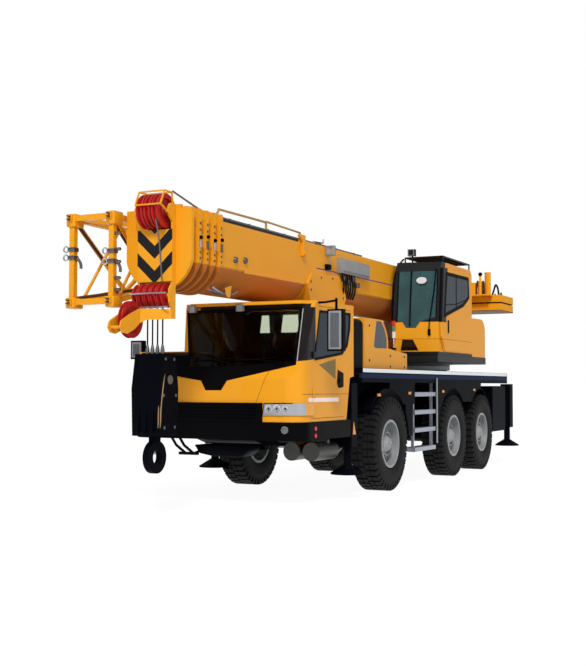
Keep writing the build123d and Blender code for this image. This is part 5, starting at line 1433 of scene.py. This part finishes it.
underframe = chamfered(plate(frame_outline, "X", 3.640, 3.950), 0.015, 2)
dress(underframe, "front_underframe", "chassis_black", CARRIER)
tow_bars = []
for y in (-0.640, -0.520):
    tow_bars.append(bar([(4.085, y, 0.870), (4.060, y + 0.060, 0.760), (4.020, y + 0.180, 0.655)], 0.018))
tow_bars.append(bar([(4.020, -0.560, 0.655), (4.020, -0.270, 0.655)], 0.020))
tow_bars.append(bar([(4.020, -0.340, 0.655), (3.900, -0.300, 0.690)], 0.018))
dress(tow_bars, "front_tow_bars", "chassis_black", CARRIER)
PADS = {
    "front_left": (2.430, 1.140), "front_right": (2.110, -1.140),
    "rear_left": (-5.650, 1.140), "rear_right": (-5.330, -1.140),
}
rib_outline = [(0.060, 0.352), (0.225, 0.352), (0.215, 0.368), (0.075, 0.448), (0.060, 0.448)]
for name, (x, y) in PADS.items():
    ribs = repeated(plate(rib_outline, "Y", -0.006, 0.006), turns(8, ORIGIN, "Z"))
    ribs.data.transform(Matrix.Translation((x, y, 0)))
    dress(ribs, f"pad_ribs_{name}", "trim_black", f"outrigger_jack_{name}")
print("carrier fittings", len(added))

# %% [markdown]
# Behind the operator's cab stand the slewing and counterweight hydraulics: two rams on a shelf with
# pipes and hoses beside the yellow post, and lifting eyes on top of the weight.

# %% Upper works fittings
pipes = []
for n, (x, y) in enumerate(((-5.02, 0.72), (-5.06, 0.78), (-5.00, 0.84))):
    rising = [(x, y, 3.34), (x + 0.02, y, 3.55), (x - 0.02, y + 0.02, 3.66)]
    falling = [(x - 0.10, y + 0.01, 3.50 - 0.05 * n), (x - 0.12, y, 3.34)]
    pipes.append(bar([*rising, *falling], 0.017, True))
dress(pipes, "counterweight_pipes", "rust_brown", UPPER)
long_hose = [
    (-5.24, 0.97, 3.34), (-5.25, 1.02, 3.50), (-5.26, 1.04, 3.58), (-5.30, 1.08, 3.50), (-5.31, 1.09, 3.34),
]
short_hose = [(-5.20, 0.80, 3.34), (-5.22, 0.79, 3.46), (-5.28, 0.80, 3.50), (-5.34, 0.82, 3.34)]
hoses = [bar(long_hose, 0.019, True), bar(short_hose, 0.016, True)]
dress(hoses, "counterweight_hoses", "tyre_rubber", UPPER)
# The white line at the cab's base glows with painted light.
line = bar([(-1.300, 0.52, 2.062), (-1.420, 1.10, 2.062)], 0.012)
dress(line, "upper_base_line", "glowing_reflector_white", UPPER)
tall_ram = [(3.35, 0), (3.35, 0.040), (3.62, 0.040), (3.63, 0.022), (3.72, 0.022), (3.72, 0)]
low_ram = [(3.35, 0), (3.35, 0.034), (3.55, 0.034), (3.56, 0.020), (3.62, 0.020), (3.62, 0)]
hydraulics = [
    slab((-5.075, 0.60, 3.348), (-4.965, 0.70, 3.60), 0.010),
    turned(tall_ram, (-5.00, 0.800, 0), "Z", 20),
    turned(low_ram, (-5.03, 0.520, 0), "Z", 20),
    slab((-5.14, 0.46, 3.325), (-4.90, 1.02, 3.352), 0.006),
]
dress(hydraulics, "counterweight_hydraulics", "paint_yellow", UPPER)
cap_profile = [(3.72, 0), (3.72, 0.018), (3.75, 0.040), (3.78, 0.040), (3.80, 0.020), (3.80, 0)]
dress(turned(cap_profile, (-5.00, 0.800, 0), "Z", 20), "counterweight_ram_cap", "trim_black", UPPER)
eyes = []
for x, y in ((-5.80, 1.00), (-5.80, -1.00), (-6.05, 0.80), (-5.45, -0.80)):
    eyes.append(turned(round_section(0.045, 0.014), (x, y, 3.395), "Y", 24))
    eyes.append(turned([(3.346, 0), (3.346, 0.035), (3.356, 0.033), (3.362, 0)], (x, y, 0), "Z", 16))
dress(eyes, "counterweight_eyes", "rust_brown", UPPER)
post_profile = [(3.795, 0), (3.795, 0.064), (3.812, 0.064), (3.814, 0.055), (3.814, 0)]
post_cap = turned(post_profile, (-5.212, 0.890, 0), "Z", 32)
dress(post_cap, "counterweight_post_cap", "paint_yellow", UPPER)
print("upper works fittings", len(added))

# %% [markdown]
# The winch carries its rope in one layer of close turns, a ring for each turn.

# %% Rope on the winch
ROPE_R, DRUM_R, DRUM_HALF = 0.009, 0.165, 0.20
WINCH_X, WINCH_Z = -3.820, 2.290
turns_of_rope = int(2 * DRUM_HALF / (2 * ROPE_R)) - 2
wrap = round_section(DRUM_R + ROPE_R, ROPE_R, 6)
wraps = []
for n in range(turns_of_rope):
    y = -DRUM_HALF + ROPE_R * (2 * n + 3)
    wraps.append(turned([(y + along, r) for along, r in wrap], (WINCH_X, 0, WINCH_Z), "Y", 36))
dress(wraps, "winch_rope", "rope_tan", "winch_drum")
print("winch rope turns", turns_of_rope)

# %% [markdown]
# The machine stands on a pale studio floor. A floor that shows white to the camera and still takes a
# soft shadow is a mix: what a camera ray sees is mostly plain light, with a share of diffuse white that
# takes the shadow, and the rays that metal and glass send out see the same.


# %% Floor, world, light and camera
def stage_floor():
    bpy.ops.object.select_all(action="DESELECT")
    bpy.ops.mesh.primitive_circle_add(vertices=96, radius=150, fill_type="NGON", location=(0, 0, 0))
    floor = bpy.context.object
    floor.name = "studio_floor"
    ground = Finish("studio floor")
    seen = ground.node("ShaderNodeLightPath", {}, {})
    kinds = ("Is Camera Ray", "Is Glossy Ray", "Is Transmission Ray")
    direct = [Reading(ground, seen.outputs[kind]) for kind in kinds]
    speck = ground.noise(0.4, 3)
    ground.set(Base_Color=ground.colours(speck, (0.88, 0.88, 0.88), (0.92, 0.92, 0.92)), Roughness=0.85)
    glow = ground.node("ShaderNodeEmission", {}, {"Color": (1, 1, 1, 1), "Strength": 1.05})
    share = (direct[0] + direct[1] + direct[2]).clamp() * FLOOR_GLOW
    mix = ground.node("ShaderNodeMixShader", {}, {0: share})
    ground.tree.links.new(ground.shader.outputs[0], mix.inputs[1])
    ground.tree.links.new(glow.outputs[0], mix.inputs[2])
    ground.tree.links.new(mix.outputs[0], ground.tree.nodes["Material Output"].inputs[0])
    floor.data.materials.append(ground.material)


def studio_world():
    world = bpy.data.worlds.new("studio")
    bpy.context.scene.world = world
    world.use_nodes = True
    tree = world.node_tree
    sky = tree.nodes["Background"]
    sky.inputs["Color"].default_value = (0.95, 0.97, 1.0, 1)
    sky.inputs["Strength"].default_value = SKY_LEVEL
    backdrop = tree.nodes.new("ShaderNodeBackground")
    backdrop.inputs["Color"].default_value = (1, 1, 1, 1)
    rays = tree.nodes.new("ShaderNodeLightPath")
    either = tree.nodes.new("ShaderNodeMath")
    either.operation = "MAXIMUM"
    tree.links.new(rays.outputs["Is Camera Ray"], either.inputs[0])
    tree.links.new(rays.outputs["Is Transmission Ray"], either.inputs[1])
    mix = tree.nodes.new("ShaderNodeMixShader")
    tree.links.new(either.outputs[0], mix.inputs[0])
    tree.links.new(sky.outputs[0], mix.inputs[1])
    tree.links.new(backdrop.outputs[0], mix.inputs[2])
    tree.links.new(mix.outputs[0], tree.nodes["World Output"].inputs[0])


def lamp(name, kind, energy, towards, **settings):
    """A lamp far off in one direction from the crane's middle."""
    bpy.ops.object.select_all(action="DESELECT")
    place = Vector(towards).normalized() * 30
    bpy.ops.object.light_add(type=kind, location=place)
    light = bpy.context.object
    light.name = name
    light.rotation_euler = (-place).to_track_quat("-Z", "Y").to_euler()
    light.data.energy = energy
    for key, value in settings.items():
        setattr(light.data, key, value)


FLOOR_GLOW = 0.9
SKY_LEVEL = 0.47
CAMERA_PLACE = (16.139, 7.104, 1.536)
CAMERA_TURN = (92.753, -0.08, 116.38)
LENS_MM, SENSOR_MM = 58.92, 36
stage_floor()
studio_world()
lamp("key_light", "SUN", 2.35, (0.72, 0.33, 0.74), angle=math.radians(12), color=(1.0, 0.975, 0.93))
lamp("fill_light", "SUN", 0.18, (0.3, 1.0, 0.3), angle=math.radians(40))

turn = [math.radians(angle) for angle in CAMERA_TURN]
bpy.ops.object.camera_add(location=CAMERA_PLACE, rotation=turn)
camera = bpy.context.object
camera.data.lens = LENS_MM
camera.data.sensor_width = SENSOR_MM
bpy.context.scene.camera = camera
bpy.context.scene.view_settings.view_transform = "Standard"
print("camera", tuple(round(v, 2) for v in camera.location))
